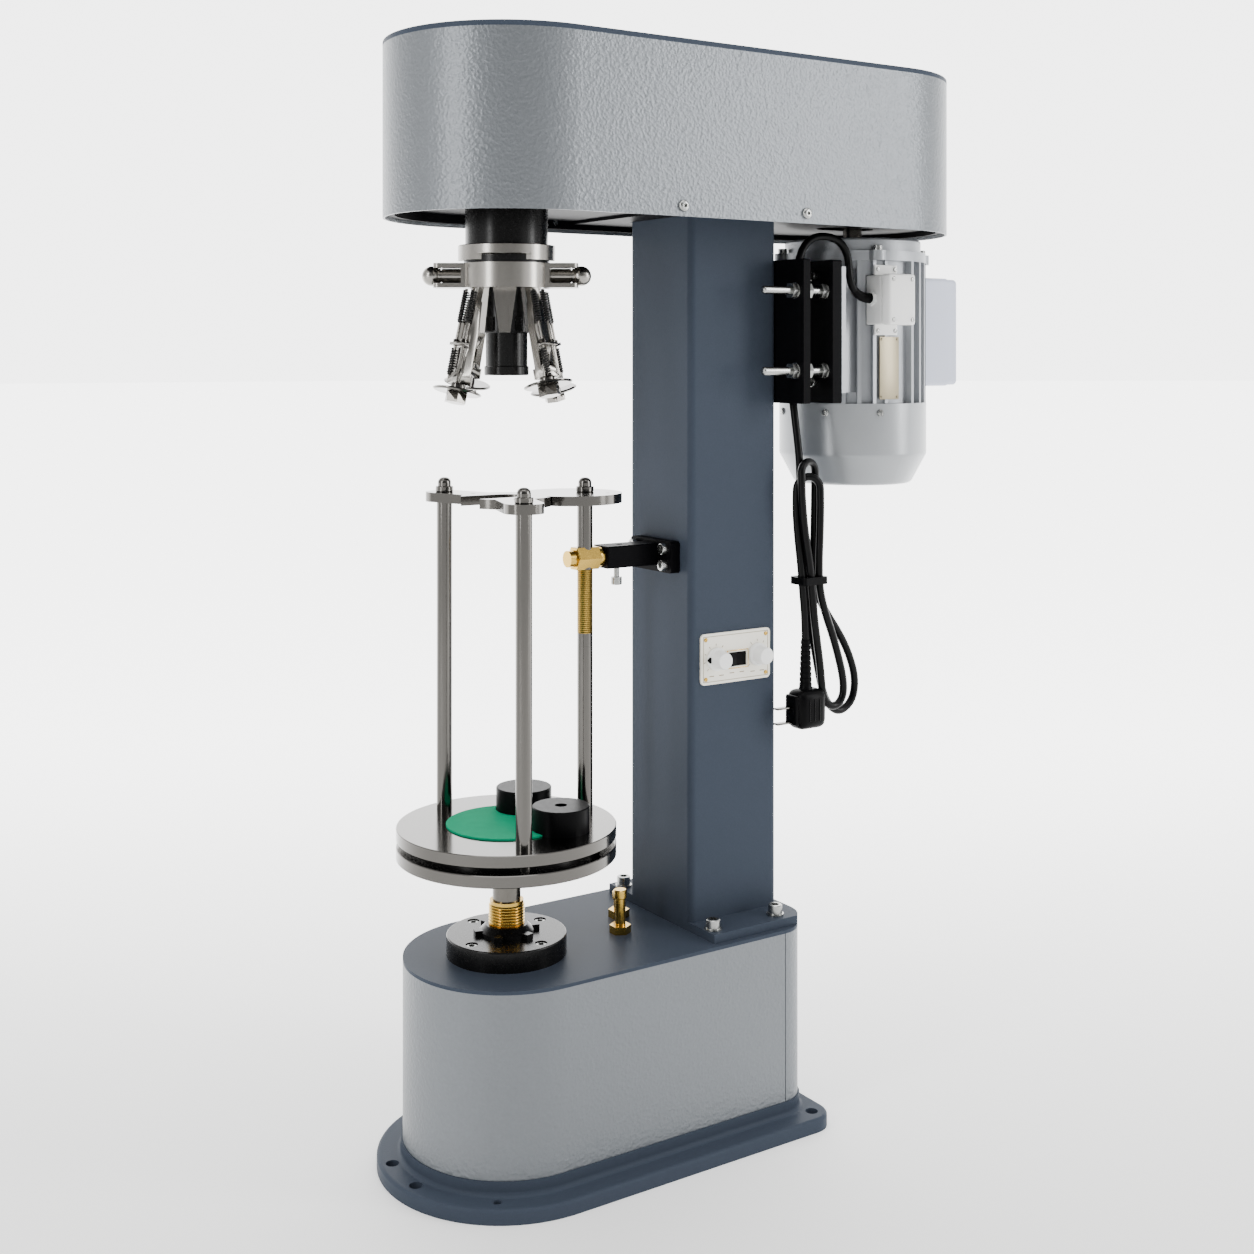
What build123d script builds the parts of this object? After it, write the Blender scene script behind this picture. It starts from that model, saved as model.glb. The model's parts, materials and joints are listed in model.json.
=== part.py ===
from build123d import *
from math import asin, atan2, cos, degrees, hypot, radians, sin, sqrt, tan
import os

# Roll-on pilfer-proof capping machine in millimetres, +Z up, floor at Z = 0.
# While it is modelled, X = Y = 0 is the spindle axis and -Y is the bottle side.
# Each piece is moved at the end so that the origin is the middle of the footprint.

# Clearances
running_gap = 0.05
seat_gap = 0.1
free_gap = 0.3
bolt_gap = 0.4

# Base casting
base_radius = 115.5
base_centre_y = 3.0
base_back_y = 280.0
base_corner = 22.0
base_flange_height = 12.5
base_band_height = 12.3
base_band_step = 1.5
base_band_wall = 9.0
base_foot_fillet = 4.0
base_edge_fillet = 3.0
base_relief_depth = 5.0
base_relief_margin = 16.0
anchor_radius = 5.75
rear_anchor_x = base_radius - 15.5
rear_anchor_y = base_back_y - 17.0
front_anchor_ring = base_radius - 11.0
front_anchor_x = 22.5
front_anchor_y = base_centre_y - sqrt(front_anchor_ring**2 - front_anchor_x**2)
jack_hole_radius = 3.6
jack_hole_depth = 3.0
jack_hole_ring = base_radius - 13.0
jack_hole_turn = 55.0

# Pedestal
skirt_radius = 93.1
skirt_back_y = 268.0
skirt_corner = 30.0
skirt_wall = 2.0
skirt_height = 152.7
seam_width = 0.8
deck_cover = 3.0
deck_spigot = 8.0

# Lift guide, sleeve and ram
guide_radius = 52.6
guide_height = 17.7
guide_spigot_radius = 30.0
guide_spigot_length = 20.0
guide_bolt_circle = 42.0
guide_bolt_turn = 15.5
guide_bolt_radius = 3.0
guide_bolt_head_radius = 5.0
guide_bolt_head_height = 6.0
lock_ring_foot_radius = 24.0
lock_ring_top_radius = 18.5
lock_ring_height = 8.0
lock_lug_reach = 5.0
lock_lug_width = 7.0
sleeve_radius = 15.75
sleeve_stand_out = 20.8
ram_radius = 12.3
ram_collar_radius = 15.5
ram_collar_height = 6.0
ram_collar_chamfer = 0.8
ram_tail = 5.0
ram_screw_radius = 5.0
ram_screw_depth = 30.0
ram_screw_head_radius = 8.0

# Lift cam, its follower and the gearmotor inside the pedestal
cam_axis_z = 86.0
cam_base_radius = 15.0
cam_sweep = 240.0
cam_dwell = 8.0
cam_thickness = 8.0
cam_hub_radius = 12.0
cam_hub_length = 6.0
cam_shaft_radius = 7.0
follower_radius = 9.0
follower_width = 9.0
follower_pin_radius = 3.0
gearbox_x = (16.0, 64.0)
gearbox_half_length = 36.0
gearbox_half_height = 34.0
lift_motor_radius = 33.0
lift_motor_length = 120.0

# Bottle table
table_radius = 96.3
table_plate = 10.3
table_gap = 6.2
table_height = 266.5
table_spacer_radius = 82.0
table_edge = 0.6
pad_radius = 53.0
pad_thickness = 3.0
pad_recess = 1.5
pad_edge = 0.4
stop_radius = 25.0
stop_height = 21.5
stop_places = ((44.0, 29.0), (-29.0, 34.0))
stop_screw_radius = 3.0
stop_screw_head_radius = 5.0
stop_screw_head_height = 5.0
stop_counterbore_depth = 7.0
table_travel = 55.0

# Guide rods and neck plate
rod_radius = 7.0
rod_places = ((-72.0, -24.0), (72.0, -24.0), (0.0, 81.0))
rod_tenon_radius = 4.0
neck_plate_top = 580.5
neck_plate_thickness = 8.5
neck_arm_radius = 17.0
neck_notch_radius = 17.0
neck_hub_radius = 40.0
neck_rear_radius = 46.0
neck_rear_centre_y = 66.0
neck_hole_radius = 2.1
neck_plate_holes = ((-38.0, -13.0), (38.0, -13.0), (-27.0, 27.0), (27.0, 27.0), (-24.0, 90.0), (24.0, 90.0))
nut_base_radius = 8.0
nut_base_height = 5.0
nut_dome_radius = 5.0
nut_height = 13.0

# Column
column_width = 100.0
column_front_y = 162.9
column_depth = 99.1
column_wall = 6.0
column_corner = 6.0
column_foot_thickness = 8.0
column_foot_half_width = 86.0
column_top_z = 825.5
column_top_flange = 8.5
column_bolt_x = 73.0
column_bolt_rows = (171.0, 242.0)
column_bolt_radius = 4.0
column_bolt_head_radius = 6.5
column_bolt_head_height = 8.0
column_washer_radius = 8.0
column_washer_thickness = 1.6

# Head
head_radius = 111.4
head_rear_y = 375.3
head_front_y = 4.0
head_cover_bottom = 822.9
head_cover_top = 971.6
head_cover_wall = 2.0
head_lid_thickness = 4.8
head_lid_edge = 1.6
head_base_thickness = 10.0
head_rim_drop = 8.0
head_rim_width = 8.0
head_screw_rows = (111.0, 247.6)
head_screw_radius = 2.5
head_screw_head_radius = 5.2
head_screw_head_height = 3.2
head_screw_z = 832.0
head_lid_spigot = 8.0
closing_front_y = 129.0
closing_thickness = 3.0
head_bolt_x = 32.0
head_bolt_rows = (180.0, 245.0)
head_bolt_radius = 4.0
shaft_slot_half_width = 18.0
shaft_slot_travel = 24.0

# Spindle and its housing
housing_radius = 36.25
housing_bottom = 799.5
housing_top = 900.0
housing_flange_radius = 58.0
housing_flange_thickness = 10.0
housing_bolt_circle = 47.5
housing_bolt_radius = 3.0
bearing_radius = 31.0
bearing_height = 16.0
bearing_seat_z = 802.0
housing_bore = 26.0
housing_thread_radius = 34.0
shaft_radius = 15.0
ring_nut_radius = 42.5
ring_nut_height = 8.5
ring_nut_lug_drop = 5.0
ring_nut_lugs = 3
ring_nut_lug_width = 37.0
ring_nut_lug_turn = 26.5
ring_nut_bottom = 791.0
collar_radius = 37.4
collar_height = 6.5
shaft_bottom = 758.0
shaft_top = 944.0
stem_radius = 8.0
stem_top = 792.0
stem_bore_top = 806.0

# Belt drive
spindle_pulley_radius = 75.0
motor_pulley_radius = 30.0
pulley_height = 24.0
pulley_bottom = 912.0
belt_thickness = 8.0
belt_width = 9.4
groove_mouth = 12.0
groove_depth = 9.0

# Capping head
yoke_top = 783.8
yoke_height = 21.4
yoke_hub_radius = 38.5
yoke_ear_reach = 63.0
yoke_ear_width = 34.0
yoke_ear_slot = 13.4
ear_turn = 56.5
knob_pin_radius = 6.5
knob_tail_radius = 4.0
knob_groove_depth = 1.2
knob_ball_radius = 8.75
knob_ball_reach = 65.5
cone_radius = 24.0
cone_bottom = 723.0
cone_facets = 6
cone_facet_turn = -33.5
cone_facet_reach = (21.6, 23.5)
cone_fin_reach = 26.0
cone_fin_width = 7.0
cone_fin_z = (725.0, 737.0)
chuck_radius = 18.3
chuck_rim_radius = 19.4
chuck_rim_z = 694.4
chuck_bottom = 686.2
chuck_head_top = 733.0

# Roller arms
arm_count = 4
arm_pivot_reach = 31.0
arm_pivot_z = 768.0
arm_lean = 14.5
arm_first_turn = 11.5
arm_eye_radius = 4.4
arm_neck_width = 9.4
arm_neck_thickness = 5.6
arm_neck_length = 24.0
arm_blade_width = 17.0
arm_blade_thickness = 8.0
arm_pocket_half_width = 5.2
arm_pocket_inner = 24.5
arm_pocket_outer = 36.3
arm_pocket_top = 775.0
arm_pin_radius = 2.5
arm_pin_length = 19.0
roller_radius = 21.0
roller_thickness = 2.5
thread_roller_drop = 92.5
tuck_roller_drop = 98.5
roller_hub_radius = 6.5
roller_hub_height = 6.0
roller_bolt_radius = 4.0
roller_bolt_across_flats = 16.5
roller_bolt_head = 8.5
spring_radius = 3.1
spring_core_radius = 1.9
spring_rod_radius = 1.4
spring_offset = 7.6
spring_spread = 5.2
upper_spring = (-40.0, -10.5)
lower_spring = (-86.0, -62.0)
spring_tab_drop = -60.0
spring_tab_thickness = 2.5

# Motor
motor_y = 400.0
motor_radius = 73.0
motor_core_radius = 66.0
motor_bottom = 657.0
motor_top = 796.0
motor_ribs = 30
motor_rib_width = 4.0
motor_floor = 10.0
motor_flat_x = 66.0
motor_flat_y = (362.0, 406.0)
rotor_radius = 38.0
rotor_bottom = 676.0
rotor_top = 780.0
fan_radius = 60.0
fan_hub_radius = 16.0
fan_bottom = 600.0
fan_top = 638.0
fan_blades = 6
rotor_air_gap = 0.6
motor_shaft_radius = 9.5
bell_top = 818.5
fan_cover_bottom = 576.5
fan_cover_wall = 2.0
fan_cover_radius = 73.6
fan_cover_cone_z = 606.0
fan_cover_foot_radius = 58.0
fan_cover_slots = 12
fan_slot_reach = (16.0, 50.0)
fan_slot_width = 4.0
bell_step_z = 805.6
bell_upper_radius = 68.0
bell_lug_turn = -22.0
bell_lug_reach = 81.5
bell_lug_width = 16.0
bell_screw_radius = 2.5
mount_plate_half_width = 90.0
mount_plate_bottom = 659.0
mount_plate_top = 793.0
mount_plate_thickness = 8.0
tension_plate_front_y = 297.0
tension_plate_thickness = 11.0
tension_stud_x = 79.0
tension_stud_rows = (689.4, 763.7)
tension_stud_radius = 3.75
tension_stud_front_y = 222.0
tension_nut_across_flats = 13.0
tension_nut_height = 6.0
tension_washer_radius = 7.5
tension_washer_thickness = 1.6
foot_screw_x = 65.0
foot_screw_rows = (679.0, 779.0)
foot_screw_radius = 3.0
foot_screw_head_radius = 5.0
foot_screw_head_height = 6.0
foot_channel_half_width = 42.0
foot_bottom = 668.0
foot_top = 788.0
mount_screw_x = 30.0
mount_screw_rows = (676.0, 776.0)
mount_screw_radius = 4.0
mount_screw_head_radius = 6.5
mount_screw_head_height = 8.0
foot_half_width = 75.0
foot_depth = 18.0
terminal_box_side = ((57.0, 92.0), (366.6, 400.3), (733.0, 782.0))
capacitor_box_side = ((-28.0, 28.0), (474.0, 520.0), (672.5, 783.5))
terminal_tab_thickness = 2.5
terminal_tab_y = (369.0, 398.0)
terminal_tab_reach = 9.5
gland_radius = 5.6
gland_length = 3.0
gland_z = 759.0
gland_x = 66.7
capacitor_lid = 14.0
capacitor_corner = 5.0
capacitor_pad_half_width = 20.0
capacitor_pad_z = (690.0, 766.0)

# Guide bracket on the column
bracket_z = 519.0
bracket_plate_half_width = 33.0
bracket_plate_height = 29.0
bracket_plate_thickness = 10.0
bracket_arm_width = 25.0
bracket_arm_height = 20.0
bracket_arm_end_y = 98.0
bracket_screw_x = 24.0
bracket_screw_rise = 7.5
bracket_screw_radius = 3.0
bracket_screw_head_radius = 5.0
bracket_screw_head_height = 6.0
brass_across_flats = 20.0
brass_front_y = 69.0
brass_stub_radius = 7.5
brass_collar_length = 5.0
brass_collar_radius = 9.0
brass_stub_length = 18.0
brass_nose_length = 7.0
rod_thread_length = 69.0
rod_thread_depth = 1.0
bracket_arm_z = 520.5
clamp_screw_y = 115.0
clamp_screw_radius = 2.5
clamp_screw_head_radius = 5.0
clamp_screw_head_height = 7.0
clamp_screw_gap = 9.5
bracket_hole_radius = 3.0
bracket_hole_y = 118.0

# Control panel
panel_y = (173.0, 252.5)
panel_z = (403.0, 449.5)
panel_thickness = 2.0
panel_corner = 4.0
knob_places = (190.0, 237.5)
knob_z = 426.0
knob_radius = 10.5
knob_height = 15.0
knob_shaft_radius = 3.0
knob_bush_clearance = 9.0
rocker_pivot_x = 50.5
panel_bush_radius = 4.5
rocker_y = 213.75
rocker_z = 424.0
rocker_size = (24.0, 16.0)
rocker_frame = 0.9
rocker_depth = 14.0
rocker_proud = 3.0
rocker_tilt = 8.0

# Stop posts on the deck
post_place = (14.0, 110.0)
post_height = 39.0
post_radius = 6.0
rear_post_place = (-22.0, 132.0)
rear_post_height = 24.0
post_nut_across_flats = 17.0
post_nut_height = 7.0
post_ring_height = 8.0

# Mains cord: a limp lead from the terminal box, put away in a tied hank
cord_radius = 3.75
cord_route = (
    (66.7, 363.6, 759.0),
    (66.7, 338.0, 759.0),
    (64.0, 338.0, 817.0),
    (55.0, 284.0, 817.0),
    (51.0, 284.5, 735.0),
    (46.0, 283.0, 672.0),
    (54.0, 282.0, 637.0),
    (58.0, 283.5, 604.5),
)
cord_arc_share = 0.45
cord_end_share = 0.9
hank_x = (57.5, 74.0)
hank_upper = ((287.0, 594.5), (287.0, 508.0), 13.5)
hank_lower = ((296.0, 474.0), (327.0, 384.0), 12.0, 22.5)
hank_neck_y = (277.0, 300.0)
hank_neck_z = (474.0, 512.0)
tie_z = (489.0, 496.0)
tie_wall = 3.0
plug_y = (266.0, 302.0)
plug_z = (353.5, 391.5)
plug_thickness = 26.0
plug_pin_z = (361.5, 375.5)
plug_pin_length = 18.0
plug_pin_size = (6.5, 1.6)
plug_sleeve_radius = 5.0
plug_sleeve_y = 284.0
plug_sleeve_top = 440.0

# Derived levels
deck_top = base_flange_height + base_band_height + skirt_height + deck_cover
skirt_bottom = base_flange_height + base_band_height
skirt_top = skirt_bottom + skirt_height
guide_top = deck_top + guide_height
follower_z = cam_axis_z + cam_base_radius + free_gap + follower_radius
lower_plate_top = table_height + table_plate
upper_plate_bottom = lower_plate_top + table_gap
upper_plate_top = upper_plate_bottom + table_plate
neck_plate_bottom = neck_plate_top - neck_plate_thickness
column_back_y = column_front_y + column_depth
column_foot_top = deck_top + column_foot_thickness
head_base_z = column_top_z + column_top_flange
head_base_top = head_base_z + head_base_thickness
cap_back_y = capacitor_box_side[1][1]
middle_y = (cap_back_y + base_centre_y - base_radius) / 2
tension_plate_back_y = tension_plate_front_y + tension_plate_thickness


# Small makers used by every section
def bar(radius, z0, z1, x=0.0, y=0.0):
    return Pos(x, y, z0) * Cylinder(radius, z1 - z0, align=(Align.CENTER, Align.CENTER, Align.MIN))


def block(x0, x1, y0, y1, z0, z1):
    return Pos((x0 + x1) / 2, (y0 + y1) / 2, (z0 + z1) / 2) * Box(x1 - x0, y1 - y0, z1 - z0)


def prism(outline, z0, z1):
    return Pos(0, 0, z0) * extrude(outline, z1 - z0)


def turned(*points):
    return revolve(Plane.XZ * make_face(Polyline(*points, close=True)), Axis.Z)


def hexagon(across_flats, z0, z1, turn=0.0):
    face = RegularPolygon(across_flats / 2, 6, major_radius=False, rotation=turn)
    return prism(face, z0, z1)


def along_y(shape):
    return Rot(-90, 0, 0) * shape


def along_x(shape):
    return Rot(0, 90, 0) * shape


def socket_screw(radius, length, head_radius, head_height):
    head = bar(head_radius, 0, head_height) - hexagon(radius * 1.7, head_height * 0.45, head_height + 1)
    edges = head.edges().filter_by(GeomType.CIRCLE).sort_by(Axis.Z)[-1:]
    return chamfer(edges, head_height * 0.08) + bar(radius, -length, 0)


def button_screw(radius, length, head_radius, head_height):
    head = bar(head_radius, 0, head_height)
    head = fillet(head.edges().sort_by(Axis.Z)[-1:], head_height * 0.85)
    head -= hexagon(radius * 1.3, head_height * 0.4, head_height + 1)
    return head + bar(radius, -length, 0)


def d_outline(radius, back_y, corner):
    front = Pos(0, base_centre_y) * Circle(radius)
    rear = Pos(0, (base_centre_y + back_y) / 2) * Rectangle(2 * radius, back_y - base_centre_y)
    outline = front + rear
    return fillet(outline.vertices().group_by(Axis.Y)[-1], corner)


def stadium(radius, front_y, rear_y):
    ends = Pos(0, front_y) * Circle(radius) + Pos(0, rear_y) * Circle(radius)
    return ends + Pos(0, (front_y + rear_y) / 2) * Rectangle(2 * radius, rear_y - front_y)


def save(name, *solids):
    placed = [Pos(0, -middle_y, 0) * solid for solid in solids]
    shape = placed[0] if len(placed) == 1 else Compound(children=placed)
    export_step(shape, f"parts/{name}.step")


os.makedirs("parts", exist_ok=True)


# Base casting: a flange with a hollow foot, a raised band and the anchor holes
def make_base_casting():
    band_radius = skirt_radius + base_band_step
    band_back = skirt_back_y + base_band_step
    flange = prism(d_outline(base_radius, base_back_y, base_corner), 0, base_flange_height)
    flange = fillet(flange.edges().group_by(Axis.Z)[-1], base_edge_fillet)
    band = prism(
        d_outline(band_radius, band_back, skirt_corner + base_band_step),
        0,
        skirt_bottom,
    )
    body = flange + band
    foot = [
        edge
        for edge in body.edges().filter_by_position(Axis.Z, base_flange_height, base_flange_height)
        if edge.bounding_box().max.Y <= band_back + 0.1
        and edge.bounding_box().max.X <= band_radius + 0.1
        and edge.bounding_box().min.X >= -band_radius - 0.1
        and edge.bounding_box().min.Y >= base_centre_y - band_radius - 0.1
    ]
    body = fillet(foot, base_foot_fillet)
    hollow = d_outline(
        band_radius - base_band_wall,
        band_back - base_band_wall,
        skirt_corner + base_band_step - base_band_wall,
    )
    body -= prism(hollow, base_flange_height, skirt_bottom + 1)
    relief = d_outline(
        base_radius - base_relief_margin - 2 * anchor_radius,
        rear_anchor_y - base_relief_margin,
        base_corner,
    )
    body -= prism(relief, -1, base_relief_depth)
    for x in (-1, 1):
        body -= bar(anchor_radius, -1, base_flange_height + 1, x * rear_anchor_x, rear_anchor_y)
        body -= bar(anchor_radius, -1, base_flange_height + 1, x * front_anchor_x, front_anchor_y)
        jack_x = x * jack_hole_ring * sin(radians(jack_hole_turn))
        jack_y = base_centre_y - jack_hole_ring * cos(radians(jack_hole_turn))
        jack_bottom = base_flange_height - jack_hole_depth
        body -= bar(jack_hole_radius, jack_bottom, base_flange_height + 1, jack_x, jack_y)
    return body


# Pedestal skirt: one bent sheet whose ends meet in a seam near the rear corner
def make_pedestal_skirt():
    outer = d_outline(skirt_radius, skirt_back_y, skirt_corner)
    inner = d_outline(skirt_radius - skirt_wall, skirt_back_y - skirt_wall, skirt_corner - skirt_wall)
    seam_y = skirt_back_y - skirt_corner
    seam = block(
        skirt_radius - skirt_wall / 2,
        skirt_radius + 1,
        seam_y - seam_width / 2,
        seam_y + seam_width / 2,
        skirt_bottom - 1,
        skirt_top + 1,
    )
    return prism(outer, skirt_bottom, skirt_top) - prism(inner, skirt_bottom - 1, skirt_top + 1) - seam


def column_bolt_places():
    return [(x * column_bolt_x, y) for x in (-1, 1) for y in column_bolt_rows]


def guide_bolt_places():
    turns = [radians(guide_bolt_turn + 90 * n) for n in range(4)]
    return [(guide_bolt_circle * cos(t), guide_bolt_circle * sin(t)) for t in turns]


# Deck plate: closes the pedestal, with a spigot inside the skirt
def make_deck_plate():
    cover = prism(d_outline(skirt_radius, skirt_back_y, skirt_corner), skirt_top, deck_top)
    inside = skirt_wall + seat_gap
    spigot = d_outline(skirt_radius - inside, skirt_back_y - inside, skirt_corner - inside)
    plate = cover + prism(spigot, skirt_top - deck_spigot, skirt_top)
    plate -= bar(guide_spigot_radius + seat_gap, skirt_top - deck_spigot - 1, deck_top + 1)
    for x, y in column_bolt_places():
        plate -= bar(column_bolt_radius + seat_gap, skirt_top - deck_spigot - 1, deck_top + 1, x, y)
    for x, y in guide_bolt_places():
        plate -= bar(guide_bolt_radius + seat_gap, skirt_top - deck_spigot - 1, deck_top + 1, x, y)
    for x, y in (post_place, rear_post_place):
        plate -= bar(post_radius * 0.8 + seat_gap, skirt_top - deck_spigot - 1, deck_top + 1, x, y)
    return plate


# Lift guide: the black housing on the deck that takes the threaded sleeve
def make_lift_guide():
    body = bar(guide_radius, deck_top, guide_top)
    body = fillet(body.edges().sort_by(Axis.Z)[-1:], 1.2)
    body += bar(guide_spigot_radius, deck_top - guide_spigot_length, deck_top)
    body -= bar(sleeve_radius + seat_gap, deck_top - guide_spigot_length - 1, guide_top + 1)
    for x, y in guide_bolt_places():
        body -= bar(guide_bolt_radius + seat_gap, deck_top - 1, guide_top + 1, x, y)
        seat = guide_top - guide_bolt_head_height - 1
        body -= bar(guide_bolt_head_radius + bolt_gap, seat, guide_top + 1, x, y)
    return body


def make_guide_bolts():
    length = guide_height - guide_bolt_head_height - 1 + deck_cover + deck_spigot
    screw = socket_screw(guide_bolt_radius, length, guide_bolt_head_radius, guide_bolt_head_height)
    seat = guide_top - guide_bolt_head_height - 1
    return [Pos(x, y, seat) * screw for x, y in guide_bolt_places()]


# Lock ring: a coned round nut with driving lugs
def make_lock_ring():
    bore = sleeve_radius + seat_gap
    ring = turned(
        (bore, guide_top),
        (lock_ring_foot_radius, guide_top),
        (lock_ring_foot_radius, guide_top + lock_ring_height * 0.35),
        (lock_ring_top_radius, guide_top + lock_ring_height),
        (bore, guide_top + lock_ring_height),
    )
    for n in range(6):
        lug = block(
            lock_ring_foot_radius - 3,
            lock_ring_foot_radius + lock_lug_reach,
            -lock_lug_width / 2,
            lock_lug_width / 2,
            guide_top,
            guide_top + lock_ring_height * 0.55,
        )
        ring += Rot(0, 0, 60 * n + guide_bolt_turn) * lug
        slot = Pos(lock_ring_foot_radius - 1, 0, guide_top + lock_ring_height) * Cylinder(2.2, 5)
        ring -= Rot(0, 0, 60 * n + 30 + guide_bolt_turn) * slot
    return ring


# Threaded sleeve: sets the working height and guides the ram
def make_height_sleeve():
    bottom = deck_top - guide_spigot_length
    top = guide_top + lock_ring_height + sleeve_stand_out
    sleeve = bar(sleeve_radius, bottom, top)
    sleeve = chamfer(sleeve.edges().filter_by(GeomType.CIRCLE), 1.0)
    return sleeve - bar(ram_radius + running_gap, bottom - 1, top + 1)


# Lift ram: carries the table and holds the cam follower in its forked foot
def make_lift_ram():
    bottom = follower_z - ram_tail
    ram = bar(ram_radius, bottom, table_height)
    collar = bar(ram_collar_radius, table_height - ram_collar_height, table_height)
    ram += chamfer(collar.edges().filter_by(GeomType.CIRCLE).sort_by(Axis.Z)[:1], ram_collar_chamfer)
    slot_half = follower_width / 2 + free_gap
    ram -= block(
        -slot_half,
        slot_half,
        -ram_radius - 1,
        ram_radius + 1,
        bottom - 1,
        follower_z + follower_radius + 1,
    )
    ram -= bar(ram_screw_radius, table_height - ram_screw_depth, table_height + 1)
    pin_hole = Pos(0, 0, follower_z) * along_x(Cylinder(follower_pin_radius, 3 * ram_radius))
    return ram - pin_hole


def make_follower_pin():
    return Pos(0, 0, follower_z) * along_x(Cylinder(follower_pin_radius, 2 * ram_radius - 2))


def make_cam_follower():
    roller = Cylinder(follower_radius, follower_width)
    roller = chamfer(roller.edges().filter_by(GeomType.CIRCLE), 0.5)
    roller -= Cylinder(follower_pin_radius + running_gap, follower_width + 2)
    return Pos(0, 0, follower_z) * along_x(roller)


# Lift cam: a constant-rise spiral, so the table climbs in step with the shaft
def make_lift_cam():
    offset = follower_radius + free_gap
    rise = table_travel / radians(cam_sweep)
    points = []
    for n in range(-1, 26):
        swept = radians(cam_sweep) * min(max(n / 24, 0), 1)
        angle = radians(90) - radians(cam_sweep) * n / 24
        if n < 0:
            angle = radians(90 + cam_dwell)
        if n > 24:
            angle = radians(90 - cam_sweep - cam_dwell)
        pitch = cam_base_radius + offset + rise * swept
        slope = rise if 0 <= n <= 24 else 0
        length = hypot(pitch, slope)
        outward = (pitch * cos(angle) - slope * sin(angle), pitch * sin(angle) + slope * cos(angle))
        points.append(
            (
                pitch * cos(angle) - offset * outward[0] / length,
                pitch * sin(angle) - offset * outward[1] / length,
            )
        )
    face = make_face([Spline(*points), Line(points[-1], points[0])])
    cam = Pos(0, 0, -cam_thickness / 2) * extrude(face, cam_thickness)
    cam += Pos(0, 0, cam_thickness / 2) * Cylinder(
        cam_hub_radius, cam_hub_length, align=(Align.CENTER, Align.CENTER, Align.MIN)
    )
    shaft_start = cam_thickness / 2 + cam_hub_length
    shaft_end = gearbox_x[1] - 8
    cam += Pos(0, 0, shaft_start) * Cylinder(
        cam_shaft_radius, shaft_end - shaft_start, align=(Align.CENTER, Align.CENTER, Align.MIN)
    )
    return Pos(0, 0, cam_axis_z) * (Plane.YZ * cam)


def make_lift_gearmotor():
    box = block(
        gearbox_x[0],
        gearbox_x[1],
        -gearbox_half_length,
        gearbox_half_length,
        cam_axis_z - gearbox_half_height,
        cam_axis_z + gearbox_half_height,
    )
    box = fillet(box.edges().filter_by(Axis.X), 8)
    centre_x = sum(gearbox_x) / 2
    motor = Pos(centre_x, gearbox_half_length - 1, cam_axis_z) * along_y(
        Cylinder(lift_motor_radius, lift_motor_length, align=(Align.CENTER, Align.CENTER, Align.MIN))
    )
    feet = block(
        gearbox_x[0],
        gearbox_x[1],
        -gearbox_half_length,
        gearbox_half_length + 10,
        base_flange_height,
        cam_axis_z - gearbox_half_height + 4,
    )
    feet -= block(
        gearbox_x[0] + 8,
        gearbox_x[1] - 8,
        -gearbox_half_length - 1,
        gearbox_half_length + 11,
        base_flange_height + 8,
        cam_axis_z - gearbox_half_height - 8,
    )
    body = box + motor + feet
    bore_end = gearbox_x[1] - 7
    bore = Pos(gearbox_x[0] - 1, 0, cam_axis_z) * along_x(
        Cylinder(
            cam_shaft_radius + running_gap,
            bore_end - gearbox_x[0] + 1,
            align=(Align.CENTER, Align.CENTER, Align.MIN),
        )
    )
    return body - bore


save("base_casting", make_base_casting())
save("pedestal_skirt", make_pedestal_skirt())
save("deck_plate", make_deck_plate())
save("lift_guide", make_lift_guide(), make_lock_ring())
save("height_sleeve", make_height_sleeve())
save("lift_ram", make_lift_ram(), make_follower_pin())
save("cam_follower", make_cam_follower())
save("lift_cam", make_lift_cam())
save("lift_gearmotor", make_lift_gearmotor())


# Bottle table: two turned plates held apart by a spacer
def table_plate_solid(bottom):
    plate = bar(table_radius, bottom, bottom + table_plate)
    plate = chamfer(plate.edges().filter_by(GeomType.CIRCLE), table_edge)
    return plate


def make_lower_plate():
    plate = table_plate_solid(table_height)
    plate -= bar(ram_screw_radius + seat_gap, table_height - 1, lower_plate_top + 1)
    for x, y in rod_places:
        plate -= bar(rod_tenon_radius + seat_gap, table_height - 1, lower_plate_top + 1, x, y)
    return plate


def make_table_spacer():
    spacer = bar(table_spacer_radius, lower_plate_top, upper_plate_bottom)
    spacer -= bar(ram_screw_head_radius + free_gap, lower_plate_top - 1, upper_plate_bottom + 1)
    for x, y in rod_places:
        spacer -= bar(rod_radius + free_gap, lower_plate_top - 1, upper_plate_bottom + 1, x, y)
    return spacer


def make_upper_plate():
    plate = table_plate_solid(upper_plate_bottom)
    recess = bar(pad_radius + seat_gap, upper_plate_top - pad_recess, upper_plate_top + 1)
    for x, y in stop_places:
        recess -= bar(stop_radius + seat_gap, upper_plate_bottom, upper_plate_top + 1, x, y)
    plate -= recess
    plate -= bar(ram_screw_head_radius + free_gap, upper_plate_bottom - 1, upper_plate_bottom + 3)
    for x, y in rod_places:
        plate -= bar(rod_radius + seat_gap, upper_plate_bottom - 1, upper_plate_top + 1, x, y)
    for x, y in stop_places:
        plate -= bar(stop_screw_radius + seat_gap, upper_plate_bottom - 1, upper_plate_top + 1, x, y)
    return plate


def make_table_screw():
    head_height = table_gap + 2.5
    length = table_plate + ram_screw_depth - 4
    screw = socket_screw(ram_screw_radius - seat_gap, length, ram_screw_head_radius, head_height)
    return Pos(0, 0, lower_plate_top) * screw


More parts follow.
